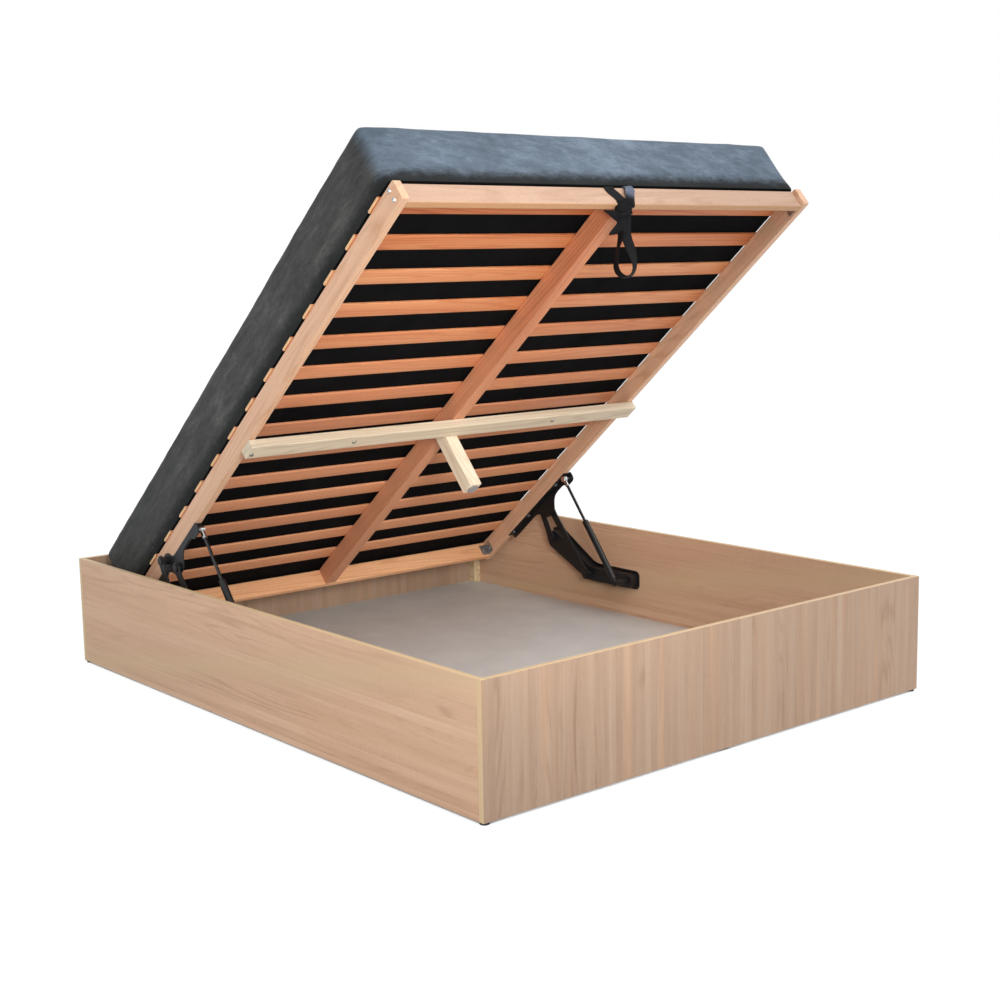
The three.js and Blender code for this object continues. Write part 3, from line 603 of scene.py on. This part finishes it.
# %% A helper for geometry graphs
def geometry_graph(name, sizes):
    """An empty Geometry Nodes tree with a named input for each size"""
    tree = bpy.data.node_groups.new(name, "GeometryNodeTree")
    tree.interface.new_socket("Geometry", in_out="INPUT", socket_type="NodeSocketGeometry")
    for label, value in sizes.items():
        kind = "NodeSocketInt" if isinstance(value, int) else "NodeSocketFloat"
        tree.interface.new_socket(label, in_out="INPUT", socket_type=kind).default_value = value
    tree.interface.new_socket("Geometry", in_out="OUTPUT", socket_type="NodeSocketGeometry")
    graph = Graph(tree)
    start = tree.nodes.new("NodeGroupInput")
    graph.inputs = {socket.name: Term(graph, socket) for socket in start.outputs if socket.name}
    return graph


def finish_graph(graph, geometry, material):
    """Makes the instances real, gives them their material and ends the tree"""
    real = graph.make("GeometryNodeRealizeInstances", {0: geometry})
    dressed = graph.make("GeometryNodeSetMaterial", {0: real, "Material": material})
    graph.feed(graph.tree.nodes.new("NodeGroupOutput").inputs[0], dressed)


def grown(name, graph, mesh, sizes):
    """Runs a geometry graph on a mesh once and returns the result as a plain object"""
    seed = bpy.data.objects.new(f"{name}_seed", mesh)
    scene.collection.objects.link(seed)
    grower = seed.modifiers.new("grow", "NODES")
    grower.node_group = graph.tree
    for item in graph.tree.interface.items_tree:
        if item.in_out == "INPUT" and item.name in sizes:
            grower[item.identifier] = sizes[item.name]
    evaluated = seed.evaluated_get(bpy.context.evaluated_depsgraph_get())
    result = bpy.data.meshes.new_from_object(evaluated)
    result.name = name
    bpy.data.objects.remove(seed)
    result.shade_smooth()
    result.set_sharp_from_angle(angle=SHARP_ANGLE)
    piece = bpy.data.objects.new(name, result)
    scene.collection.objects.link(piece)
    print(name, len(result.polygons), "faces")
    return piece


# %% Slats
SLAT_WIDE, SLAT_THICK, SLAT_EDGE = 0.054, 0.008, 0.003
PAST_RAIL, ABOVE_RAIL = 0.0045, 0.0043
slat_sizes = {
    "Count": SLAT_COUNT, "First": FOOT_END + FIRST_SLAT, "Step": SLAT_PITCH,
    "Half Length": FRAME_HALF + PAST_RAIL, "Width": SLAT_WIDE, "Thickness": SLAT_THICK,
    "Edge Radius": SLAT_EDGE, "Middle": RAIL_HIGH + ABOVE_RAIL}
g = geometry_graph("slat_row", slat_sizes)
sizes = g.inputs
profile = g.make("GeometryNodeCurvePrimitiveQuadrilateral",
                 {"Width": sizes["Width"], "Height": sizes["Thickness"]})
profile = g.make("GeometryNodeFilletCurve", {"Curve": profile, "Radius": sizes["Edge Radius"],
                                             "Count": 4}, mode="POLY")
reach = sizes["Half Length"]
path = g.make("GeometryNodeCurvePrimitiveLine", {
    "Start": g.make("ShaderNodeCombineXYZ", {0: 0.0 - reach}),
    "End": g.make("ShaderNodeCombineXYZ", {0: reach})})
slat = g.make("GeometryNodeCurveToMesh", {"Curve": path, "Profile Curve": profile,
                                          "Fill Caps": True})
row = g.make("GeometryNodeMeshLine", {
    "Count": sizes["Count"],
    "Start Location": g.make("ShaderNodeCombineXYZ", {1: sizes["First"], 2: sizes["Middle"]}),
    "Offset": g.make("ShaderNodeCombineXYZ", {1: sizes["Step"]})}, mode="OFFSET")
laid = g.make("GeometryNodeInstanceOnPoints", {"Points": row, "Instance": slat})
place, turn, _ = LIFTED.decompose()
laid = g.make("GeometryNodeTransform", {"Geometry": laid, "Translation": tuple(place),
                                        "Rotation": tuple(turn.to_euler())})
finish_graph(g, laid, slat_beech)
slats = grown("slats", g, bpy.data.meshes.new("nothing"), slat_sizes)
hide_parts(*[f"slat_{i:02d}" for i in range(1, SLAT_COUNT + 1)])
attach(slats, "platform")

# %% [markdown]
# ## Screws
# Cross-head screws hold the brace and the ends of the rails. Every one is the same head, so one
# small graph makes it: a low cone, with a cross cut out of it, is set on each point of a list and
# turned to the way that the point faces. A fixed seed gives each cross its own angle. The list
# names the place on the flat frame and the direction of the head.

# %% Screw heads
QUARTER_TURN = 1.57
screw_sizes = {"Radius": 0.0064, "Height": 0.0034, "Seed": 7}
g = geometry_graph("cross_head_screws", screw_sizes)
sizes = g.inputs
radius, height = sizes["Radius"], sizes["Height"]
head = g.make("GeometryNodeMeshCone", {"Vertices": 20, "Radius Top": radius * 0.72,
                                       "Radius Bottom": radius, "Depth": height})
arms = [g.make("GeometryNodeMeshCube", {"Size": g.make("ShaderNodeCombineXYZ", {
    0: radius * long, 1: radius * wide, 2: height})}) for long, wide in ((1.1, 0.24), (0.24, 1.1))]
cross = g.make("GeometryNodeMeshBoolean", {"Mesh 2": arms[0]}, operation="UNION")
g.tree.links.new(arms[1].socket, cross.socket.node.inputs["Mesh 2"])
cross = g.make("GeometryNodeTransform", {
    "Geometry": cross, "Translation": g.make("ShaderNodeCombineXYZ", {2: height * 0.75})})
cut = g.make("GeometryNodeMeshBoolean", {"Mesh 1": head, "Mesh 2": cross}, operation="DIFFERENCE")
facing = g.make("GeometryNodeInputNamedAttribute", {"Name": "facing"}, data_type="FLOAT_VECTOR")
upright_turn = g.make("FunctionNodeAlignRotationToVector", {"Vector": facing}, axis="Z")
# The random node keeps its float limits on its third and fourth sockets
spin = g.make("FunctionNodeRandomValue", {2: 0.0, 3: QUARTER_TURN, "Seed": sizes["Seed"]}, output=1,
              data_type="FLOAT")
spun = g.make("FunctionNodeRotateRotation", {
    0: upright_turn, 1: g.make("FunctionNodeAxisAngleToRotation", {"Axis": (0, 0, 1),
                                                                  "Angle": spin})},
    rotation_space="LOCAL")
set_on = g.make("GeometryNodeInstanceOnPoints", {"Points": sizes["Geometry"], "Instance": cut,
                                                 "Rotation": spun})
finish_graph(g, set_on, dull_zinc)


def facing_points(name, spots):
    """A mesh of loose points, each with the direction that it faces"""
    mesh = bpy.data.meshes.new(name)
    mesh.from_pydata([spot for spot, _ in spots], [], [])
    facing = mesh.attributes.new("facing", "FLOAT_VECTOR", "POINT")
    for item, (_, direction) in zip(facing.data, spots):
        item.vector = direction
    return mesh


def on_frame(place, direction):
    return lifted(*place), LIFTED.to_3x3() @ Vector(direction)


BRACE_FROM_FOOT, BRACE_WIDE, UNDER_BRACE = 0.965, 0.055, -0.0292
BESIDE_RAIL, FROM_RAIL_END, RAIL_SCREW_LEVELS = 0.7445, 0.023, (0.015, 0.043)
brace_middle = FOOT_END + BRACE_FROM_FOOT + BRACE_WIDE / 2
screws = [on_frame((x, brace_middle + aside, UNDER_BRACE), (0, 0, -1))
          for x, aside in ((-0.728, 0.006), (-0.39, -0.004), (0.378, -0.006))]
for side in (-1, 1):
    for y in (FOOT_END + FROM_RAIL_END, -FROM_RAIL_END):
        screws += [on_frame((side * BESIDE_RAIL, y, z), (side, 0, 0)) for z in RAIL_SCREW_LEVELS]
heads = grown("frame_screws", g, facing_points("screw_points", screws), screw_sizes)
painted(heads, bright_steel, lambda spot: abs(spot.x) > BESIDE_RAIL - 0.002)
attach(heads, "platform")

# %% [markdown]
# ## Pull strap
# One length of flat webbing comes over the foot rail in two strands, is knotted below it and hangs
# in a loop. A ribbon is a row of places, each with a direction across it and a width, and a smooth
# curve runs through them. The strands are drawn on the flat frame. What hangs is drawn plumb, as
# steps to the right, up and forward of the knot, with the angle by which the band turns its edge to
# the front.

# %% Ribbons
WEB_THICK, CURVE_STEPS = 0.002, 6
SECTION = [(-1, 0), (-0.93, 0.8), (-0.5, 1), (0, 1), (0.5, 1), (0.93, 0.8),
           (1, 0), (0.93, -0.8), (0.5, -1), (0, -1), (-0.5, -1), (-0.93, -0.8)]


def flowing(rows):
    """The given rows of numbers with more between them, on a smooth curve"""
    result = []
    for i in range(len(rows) - 1):
        near = [rows[max(0, min(len(rows) - 1, i + k))] for k in (-1, 0, 1, 2)]
        for step in range(CURVE_STEPS):
            t = step / CURVE_STEPS
            result.append([0.5 * (2 * b + (c - a) * t + (2 * a - 5 * b + 4 * c - d) * t * t
                                  + (3 * b - a - 3 * c + d) * t ** 3)
                           for a, b, c, d in zip(*near)])
    return result + [list(rows[-1])]


def add_ribbon(shape, places, across, widths, start, closed=False):
    """Sweeps the webbing's section along a path and notes each point's place on the band"""
    band = shape.verts.layers.float_vector["band"]
    rings, length = [], start
    for i, place in enumerate(places):
        ahead = (places[min(i + 1, len(places) - 1)] - places[max(i - 1, 0)]).normalized()
        side = (across[i] - ahead * across[i].dot(ahead)).normalized()
        through = ahead.cross(side)
        length += (place - places[max(i - 1, 0)]).length
        ring = []
        for u, v in SECTION:
            point = shape.verts.new(place + side * u * widths[i] / 2 + through * v * WEB_THICK / 2)
            point[band] = (u * widths[i] / 2, length, v)
            ring.append(point)
        rings.append(ring)
    count = len(SECTION)
    for low, high in zip(rings, rings[1:] + (rings[:1] if closed else [])):
        for i in range(count):
            shape.faces.new((low[i], low[(i + 1) % count], high[(i + 1) % count], high[i]))
    if not closed:
        shape.faces.new(rings[0][::-1])
        shape.faces.new(rings[-1])


strap_shape = bmesh.new()
strap_shape.verts.layers.float_vector.new("band")
KNOT = lifted(-0.016, -1.9443, -0.0113)
TO_RIGHT, TO_FRONT, UP = level, -Vector((math.sin(YAW), math.cos(YAW), 0)), Vector((0, 0, 1))


def hung(aside, rise, forward):
    """A place given in millimetres from the knot"""
    return KNOT + (TO_RIGHT * aside + UP * rise + TO_FRONT * forward) / 1000


print("knot at", [round(v, 3) for v in KNOT])

# %% Strands, knot and loop
# For each strand: its x on the rail's top and at its foot, how far it stands out, the place in the
# knot that it runs into, and its width. The second strand lies across the first.
RAIL_SET_BACK, BAND_OFF = 0.012, 0.0016
FACE_Y = FOOT_END + RAIL_SET_BACK - BAND_OFF
for top_x, foot_x, out, into, wide in ((-0.031, -0.006, 0.0, (-3, 2, 2), 0.036),
                                       (0.035, 0.014, 0.007, (6, 6, 4), 0.031)):
    flat = [(top_x, FACE_Y + 0.026, 0.0597), (top_x, FACE_Y + 0.006, 0.0603),
            (top_x, FACE_Y - 0.0006 - out * 0.4, 0.0585), (top_x, FACE_Y - out, 0.048),
            (top_x * 0.7 + foot_x * 0.3, FACE_Y - out, 0.036),
            (top_x * 0.3 + foot_x * 0.7, FACE_Y - out * 0.6, 0.018), (foot_x, FACE_Y, 0.002)]
    rows = [lifted(*spot) for spot in flat] + [hung(*into)]
    path = [Vector(row) for row in flowing(rows)]
    across = LIFTED.to_3x3() @ Vector((1, 0, 0.12 if out else 0))
    add_ribbon(strap_shape, path, [across] * len(path), [wide] * len(path),
               start=3.0 if out else 0.0)

# Steps right, up and forward of the knot, the turn of the band in degrees, and its width
loop_rows = [
    (-4, 6, 3, 0, 26), (-4.5, -12, 4, 0, 26), (-4, -32, 3.5, 0, 26), (-4, -52, 3, 14, 26),
    (-6, -71, 2, 50, 25), (-13, -98, 1, 74, 25), (-18, -125, 0, 72, 25), (-19.5, -146, 0, 60, 25),
    (-15, -163, 0, 56, 25), (-4, -174, 0, 62, 25), (10, -177, 0, 74, 25), (22.5, -171, 0, 70, 25),
    (29, -157, 0, 62, 25), (29.5, -142, 0, 54, 25), (26, -124, 0, 38, 26), (19.5, -103, 0, 20, 27),
    (12, -83, 0, 8, 27), (7.5, -62, -1, 4, 27), (8, -38, -2, 0, 26), (8, -12, -3, 0, 26),
    (6, 6, -3, 0, 26)]
upper_tail = [(-51, -3, 9, 0, 3), (-40, -7.5, 9, 4, 10), (-28, -12, 8, 6, 19),
              (-15, -18.5, 6, 6, 26), (0, -28, 3, 0, 27)]
lower_tail = [(-38, -66.5, 5, 0, 3), (-29, -61.5, 5, 8, 12), (-18, -55, 4, 10, 20),
              (-5, -47, 2, 4, 24)]
for start, given in ((0.1, loop_rows), (0.6, upper_tail), (0.8, lower_tail)):
    rows = flowing(given)
    path = [hung(*row[:3]) for row in rows]
    across = []
    for i, row in enumerate(rows):
        ahead = (path[min(i + 1, len(path) - 1)] - path[max(i - 1, 0)]).normalized()
        turn = math.radians(row[3])
        across.append(TO_FRONT.cross(ahead) * math.cos(turn) + TO_FRONT * math.sin(turn))
    add_ribbon(strap_shape, path, across, [row[4] / 1000 for row in rows], start)

# Three turns of the band round the strands make the knot
TURN_POINTS = 28
angles = [2 * math.pi * i / TURN_POINTS for i in range(TURN_POINTS)]
for rise, half, deep, lean, wide, aside in ((12, 24, 10, 0.12, 22, 3), (-9, 20, 9, 0.30, 23, 2),
                                            (1, 21.5, 11, -0.15, 18, 1.5)):
    path = [hung(aside + half * math.cos(a), rise + lean * half * math.cos(a), deep * math.sin(a))
            for a in angles]
    across = [(UP - TO_RIGHT * lean + TO_FRONT * 0.25 * math.sin(2 * a)).normalized()
              for a in angles]
    add_ribbon(strap_shape, path, across, [wide / 1000] * TURN_POINTS, start=1.0 + rise / 50,
               closed=True)

strap_mesh = bpy.data.meshes.new("pull_strap_webbing")
bmesh.ops.recalc_face_normals(strap_shape, faces=strap_shape.faces)
strap_shape.to_mesh(strap_mesh)
strap_shape.free()
strap = bpy.data.objects.new("pull_strap_webbing", strap_mesh)
scene.collection.objects.link(strap)

# %% Webbing
webbing = Finish("webbing", 0.6, Specular_IOR_Level=0.12)
band = webbing.make("ShaderNodeAttribute", output="Vector", attribute_name="band")
across, along, _ = webbing.parts(band)
RIBS, CORDS = 620.0, 300.0
ribs = abs((along * RIBS + abs((across * CORDS).fraction() - 0.5)).fraction() * 2.0 - 1.0)
cords = abs((across * CORDS).fraction() * 2.0 - 1.0)
rub = webbing.cloud((along, across, along), (40.0, 60.0, 40.0), detail=3.0)
yarn = webbing.ramp(ribs * 0.3 + cords * 0.2 + rub * 0.5,
                    (0.2, shade(6, 6, 7)), (0.85, shade(24, 24, 27)))
# The second strand, whose place on the band starts at 3, gets a painted sheen: a pale bluish
# highlight where it bends over the rail and catches the light
painted_sheen = along.eased(3.015, 3.03) * (1.0 - along.eased(3.055, 3.08))
webbing.set("Base Color", webbing.mixed(painted_sheen * (0.5 + rub * 0.5), yarn, shade(112, 118, 136)))
webbing.set("Roughness", 0.5 + rub * 0.2)
webbing.bump(ribs * 0.6 + cords * 0.4, 0.0004)
strap_mesh.materials.append(webbing.material)
strap_mesh.shade_smooth()
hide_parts("pull_strap")
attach(strap, "platform")
print("strap faces", len(strap_mesh.polygons))

# %% [markdown]
# ## Mattress
# The mattress is a foam block in a fitted cover of dark velour. Its underside is a thin black cloth
# that also comes a little way up its sides, where the cover is drawn in. A box with rounded edges
# gives the block. Its grid of even squares suits a cloth simulation: light pressure inside and a
# little spare cloth let the cover swell and pucker, while the underside stays flat on the slats. A
# cap keeps every point within a few millimetres of the block.

# %% Mattress block
MATTRESS_LOW = 0.0666
HALF_X, HALF_Y, HALF_Z = 0.746, 0.971, 0.0930
CENTRE = Vector((0, -0.9785, MATTRESS_LOW + HALF_Z))
CELL = 0.018
PLAN_CORNER, EDGE = 0.018, 0.009
TUCK, TUCK_HEIGHT = 0.007, 0.032


def rounded_box(point):
    """Moves a point of a sharp box onto the box with rounded edges and corners"""
    half = Vector((HALF_X, HALF_Y, HALF_Z))
    core = Vector([max(-h + EDGE, min(h - EDGE, v)) for v, h in zip(point, half)])
    away = point - core
    if away.length > 1e-9:
        point = core + away.normalized() * EDGE
    dx, dy = abs(point.x) - (HALF_X - PLAN_CORNER), abs(point.y) - (HALF_Y - PLAN_CORNER)
    if dx > 0 and dy > 0:
        pull = max(dx, dy) / math.hypot(dx, dy)
        point.x = math.copysign(HALF_X - PLAN_CORNER + dx * pull, point.x)
        point.y = math.copysign(HALF_Y - PLAN_CORNER + dy * pull, point.y)
    return point


def grid_lines(half):
    """Places along one direction: even cells, with a narrow one at each end for the rounded edge"""
    inner = half - EDGE
    count = round(2 * inner / CELL)
    return [-half] + [-inner + 2 * inner * k / count for k in range(count + 1)] + [half]


def box_of_squares():
    block = bmesh.new()
    half = (HALF_X, HALF_Y, HALF_Z)
    ticks = [grid_lines(h) for h in half]
    for axis in range(3):
        i, j = (axis + 1) % 3, (axis + 2) % 3
        for side in (-1, 1):
            rows = []
            for a in ticks[i]:
                row = []
                for b in ticks[j]:
                    spot = Vector((0, 0, 0))
                    spot[axis], spot[i], spot[j] = side * half[axis], a, b
                    row.append(block.verts.new(rounded_box(spot)))
                rows.append(row)
            for a in range(len(ticks[i]) - 1):
                for b in range(len(ticks[j]) - 1):
                    ring = [rows[a][b], rows[a + 1][b], rows[a + 1][b + 1], rows[a][b + 1]]
                    block.faces.new(ring if side > 0 else ring[::-1])
    bmesh.ops.remove_doubles(block, verts=block.verts, dist=CELL / 20)
    mesh = bpy.data.meshes.new("mattress_cover")
    block.to_mesh(mesh)
    block.free()
    return mesh


cover_mesh = box_of_squares()
print("mattress block", len(cover_mesh.vertices), "points")

# %% Puckers and creases
CALM_CORNER = 0.12


def crease(x, y, stretch_x, stretch_y, seed):
    """Soft ridges that run along one direction, 0 to 1"""
    value = noise.noise(Vector((x * stretch_x, y * stretch_y, seed)))
    return (1 - min(1, abs(value) * 3.2)) ** 2


def pucker(point):
    """How far the cover stands out at a point of the block, in metres"""
    swell = noise.noise(Vector((point.x * 3.1, point.y * 2.7, point.z * 6.0 + 5))) * 0.0022
    rise = (point.z + HALF_Z) / (2 * HALF_Z)
    lean = point.y - 1.2 * point.z
    corner = min(1.0, (HALF_X - abs(point.x) + abs(HALF_Y - abs(point.y))) / CALM_CORNER)
    if point.y < -HALF_Y + 0.02:
        folds = crease(point.x, point.z, 3.2, 34, 2.0) * 0.0022 + crease(
            point.x + point.z, point.z, 9, 60, 4.0) * 0.0010
    elif abs(point.x) > HALF_X - 0.02:
        folds = (crease(lean, point.z, 7, 9, 6.0) * 0.0012
                 + crease(lean, point.z, 26, 8, 8.0) * 0.0007)
    else:
        folds = crease(point.x, point.y, 2.6, 3.4, 9.0) * 0.0012
    return (swell + folds * corner) * min(1, max(0, rise * 3 - 0.2))


normals = [v.normal.copy() for v in cover_mesh.vertices]
for vertex, normal in zip(cover_mesh.vertices, normals):
    vertex.co += normal * pucker(vertex.co)
    drawn_in = TUCK * max(0.0, 1.0 - (vertex.co.z + HALF_Z) / TUCK_HEIGHT)
    vertex.co.x *= 1.0 - drawn_in / HALF_X
cover = bpy.data.objects.new("mattress_cover", cover_mesh)
scene.collection.objects.link(cover)

# %% The cover as cloth
SETTLING, FREE_PLAY = 24, 0.006


def held(point):
    """1 where the cover lies on the slats and cannot move, 0 where it is free"""
    return min(1.0, max(0.0, 1.0 - (point.z + HALF_Z - 0.004) / 0.03))


def slack(point):
    """How much spare cloth there is: most of it on the foot face, where the cover hangs loose"""
    return 1.0 if point.y < -HALF_Y + 0.05 else 0.35 if abs(point.x) > HALF_X - 0.05 else 0.2


def settle(cover):
    block = [v.co.copy() for v in cover.data.vertices]
    for name, weight in (("held", held), ("slack", slack)):
        group = cover.vertex_groups.new(name=name)
        for i, spot in enumerate(block):
            group.add([i], weight(spot), "REPLACE")
    cloth = cover.modifiers.new("cloth", "CLOTH")
    cloth.settings.quality, cloth.settings.mass = 5, 0.25
    cloth.settings.tension_stiffness = cloth.settings.compression_stiffness = 12
    cloth.settings.shear_stiffness, cloth.settings.bending_stiffness = 6, 0.6
    cloth.settings.vertex_group_mass, cloth.settings.vertex_group_shrink = "held", "slack"
    cloth.settings.shrink_min, cloth.settings.shrink_max = 0.0, -0.035
    cloth.settings.use_pressure, cloth.settings.uniform_pressure_force = True, 1.5
    cloth.settings.effector_weights.gravity = 0.15
    cloth.collision_settings.use_collision = False
    cloth.point_cache.frame_start, cloth.point_cache.frame_end = 1, SETTLING
    for step in range(1, SETTLING + 1):
        scene.frame_set(step)
    settled = cover.evaluated_get(bpy.context.evaluated_depsgraph_get()).data
    moves = [point.co - spot for point, spot in zip(settled.vertices, block)]
    cover.modifiers.remove(cloth)
    scene.frame_set(1)
    for vertex, spot, move in zip(cover.data.vertices, block, moves):
        if move.length > FREE_PLAY:
            move = move.normalized() * FREE_PLAY
        vertex.co = spot + move
    lengths = [move.length * 1000 for move in moves]
    print("before the cap the cloth moved", round(sum(lengths) / len(lengths), 2),
          "mm on average,", round(max(lengths), 1), "at most")


settle(cover)
cover_mesh.transform(LIFTED @ Matrix.Translation(CENTRE))
finer = cover.modifiers.new("finer", "SUBSURF")
finer.levels = finer.render_levels = 1

# %% [markdown]
# ## Velour
# The cover is a short-piled velour: charcoal, with soft streaks that run aslant where hands have
# stroked it. Its foot face is painted cooler and lighter than its sides: painted light, as that
# face looks up towards the large lamp. Sheen lifts its colour at glancing angles, as pile does. The
# lowest band and the underside are a plain black cloth, with a rough, slightly wavy border. That
# band is also painted shade where the cover meets the slats: it is darkest at the bottom and fades
# upwards.

# %% Velour and underside cloth
THREADS, PILE = 620.0, 420.0
UNDERSIDE, BAND_BOTTOM, BAND_TOP = (MATTRESS_LOW + rise for rise in (0.005, 0.010, 0.05))


def plain_weave(finish, spot, dark, light):
    """The colour of a thin rubbed cloth between two colours, and its crossing threads"""
    x, y, _ = spot
    threads = [abs((axis * THREADS).fraction() * 2.0 - 1.0) for axis in (x, y)]
    weave = threads[0] * threads[1]
    rub = finish.cloud(spot, (7.0, 7.0, 7.0), detail=4.0)
    return finish.ramp(rub * 0.7 + weave * 0.3, (0.25, dark), (0.8, light)), weave


velour = Finish("velour", 0.85, Sheen_Weight=0.12, Sheen_Roughness=0.4,
                Specular_IOR_Level=0.15)
velour.set("Sheen Tint", (0.86, 0.93, 1.0, 1))
x, y, z = velour.place(TILT, shift=(0, FLAT.translation.y, FLAT.translation.z))
stroke = velour.cloud((x + z * 0.8, y - z * 1.2, z), (14.0, 8.0, 30.0), detail=6.0, roughness=0.72,
                      distortion=0.35)
blotch = velour.cloud((x, y, z), (7.0, 6.0, 9.0), detail=4.0, roughness=0.65, distortion=0.2)
patch = velour.cloud((x, y, z), (1.7, 1.7, 2.0), detail=1.0)
pile = velour.cloud((x, y, z), (PILE, PILE, PILE), detail=3.0, roughness=0.7)
fuzz = velour.cloud((x + z * 0.4, y - z * 0.6, z), (60.0, 50.0, 120.0), detail=4.0,
                    roughness=0.7)
tone = stroke * 0.38 + blotch * 0.22 + patch * 0.14 + fuzz * 0.16 + pile * 0.1
sides = velour.ramp(tone, (0.38, shade(48, 48, 46)), (0.51, shade(72, 72, 69)),
                    (0.64, shade(104, 104, 100)))
# Painted light: the foot face, which looks up towards the large lamp, gets its own lighter, cooler
# tones than the sides.
foot = velour.ramp(tone, (0.38, shade(74, 84, 94)), (0.51, shade(96, 108, 120)),
                   (0.64, shade(126, 139, 152)))
inside_x, inside_z = HALF_X - abs(x), MATTRESS_LOW + 2 * HALF_Z - z
behind_foot = y - (CENTRE.y - HALF_Y)
painted_light_on_foot = (inside_x.maths("MINIMUM", inside_x, inside_z) - behind_foot + blotch * 0.03).eased(
    -0.035, 0.03)
# The black band is partly the real underside cloth and partly painted shade where the cover meets
# the slats: darkest at the bottom, it fades upwards to BAND_TOP.
black, weave = plain_weave(velour, (x, y, z), shade(30, 31, 31), shade(50, 51, 51))
border = velour.cloud((x, y, z), (26.0, 26.0, 60.0), detail=5.0, roughness=0.75)
under = 1.0 - (z + (border - 0.5) * 0.045).eased(BAND_BOTTOM, BAND_TOP)
velour.set("Base Color", velour.mixed(under, velour.mixed(painted_light_on_foot, sides, foot), black))
velour.set("Roughness", 0.8 + pile * 0.15)
velour.bump(stroke * 0.4 + fuzz * 0.3 + pile * 0.25 + weave * under * 0.2, 0.0012, 0.6)
cover_mesh.materials.append(velour.material)

under_cloth = Finish("under_cloth", 0.95, Specular_IOR_Level=0.05)
black, weave = plain_weave(under_cloth, under_cloth.place(TILT), shade(10, 10, 11),
                           shade(24, 24, 25))
under_cloth.set("Base Color", black)
under_cloth.bump(weave, 0.0003)
cover_mesh.materials.append(under_cloth.material)
for face in cover_mesh.polygons:
    face.material_index = int((FLAT @ face.center).z < UNDERSIDE)
cover_mesh.shade_smooth()
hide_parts("mattress")
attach(cover, "platform")
print("cover faces", len(cover_mesh.polygons))
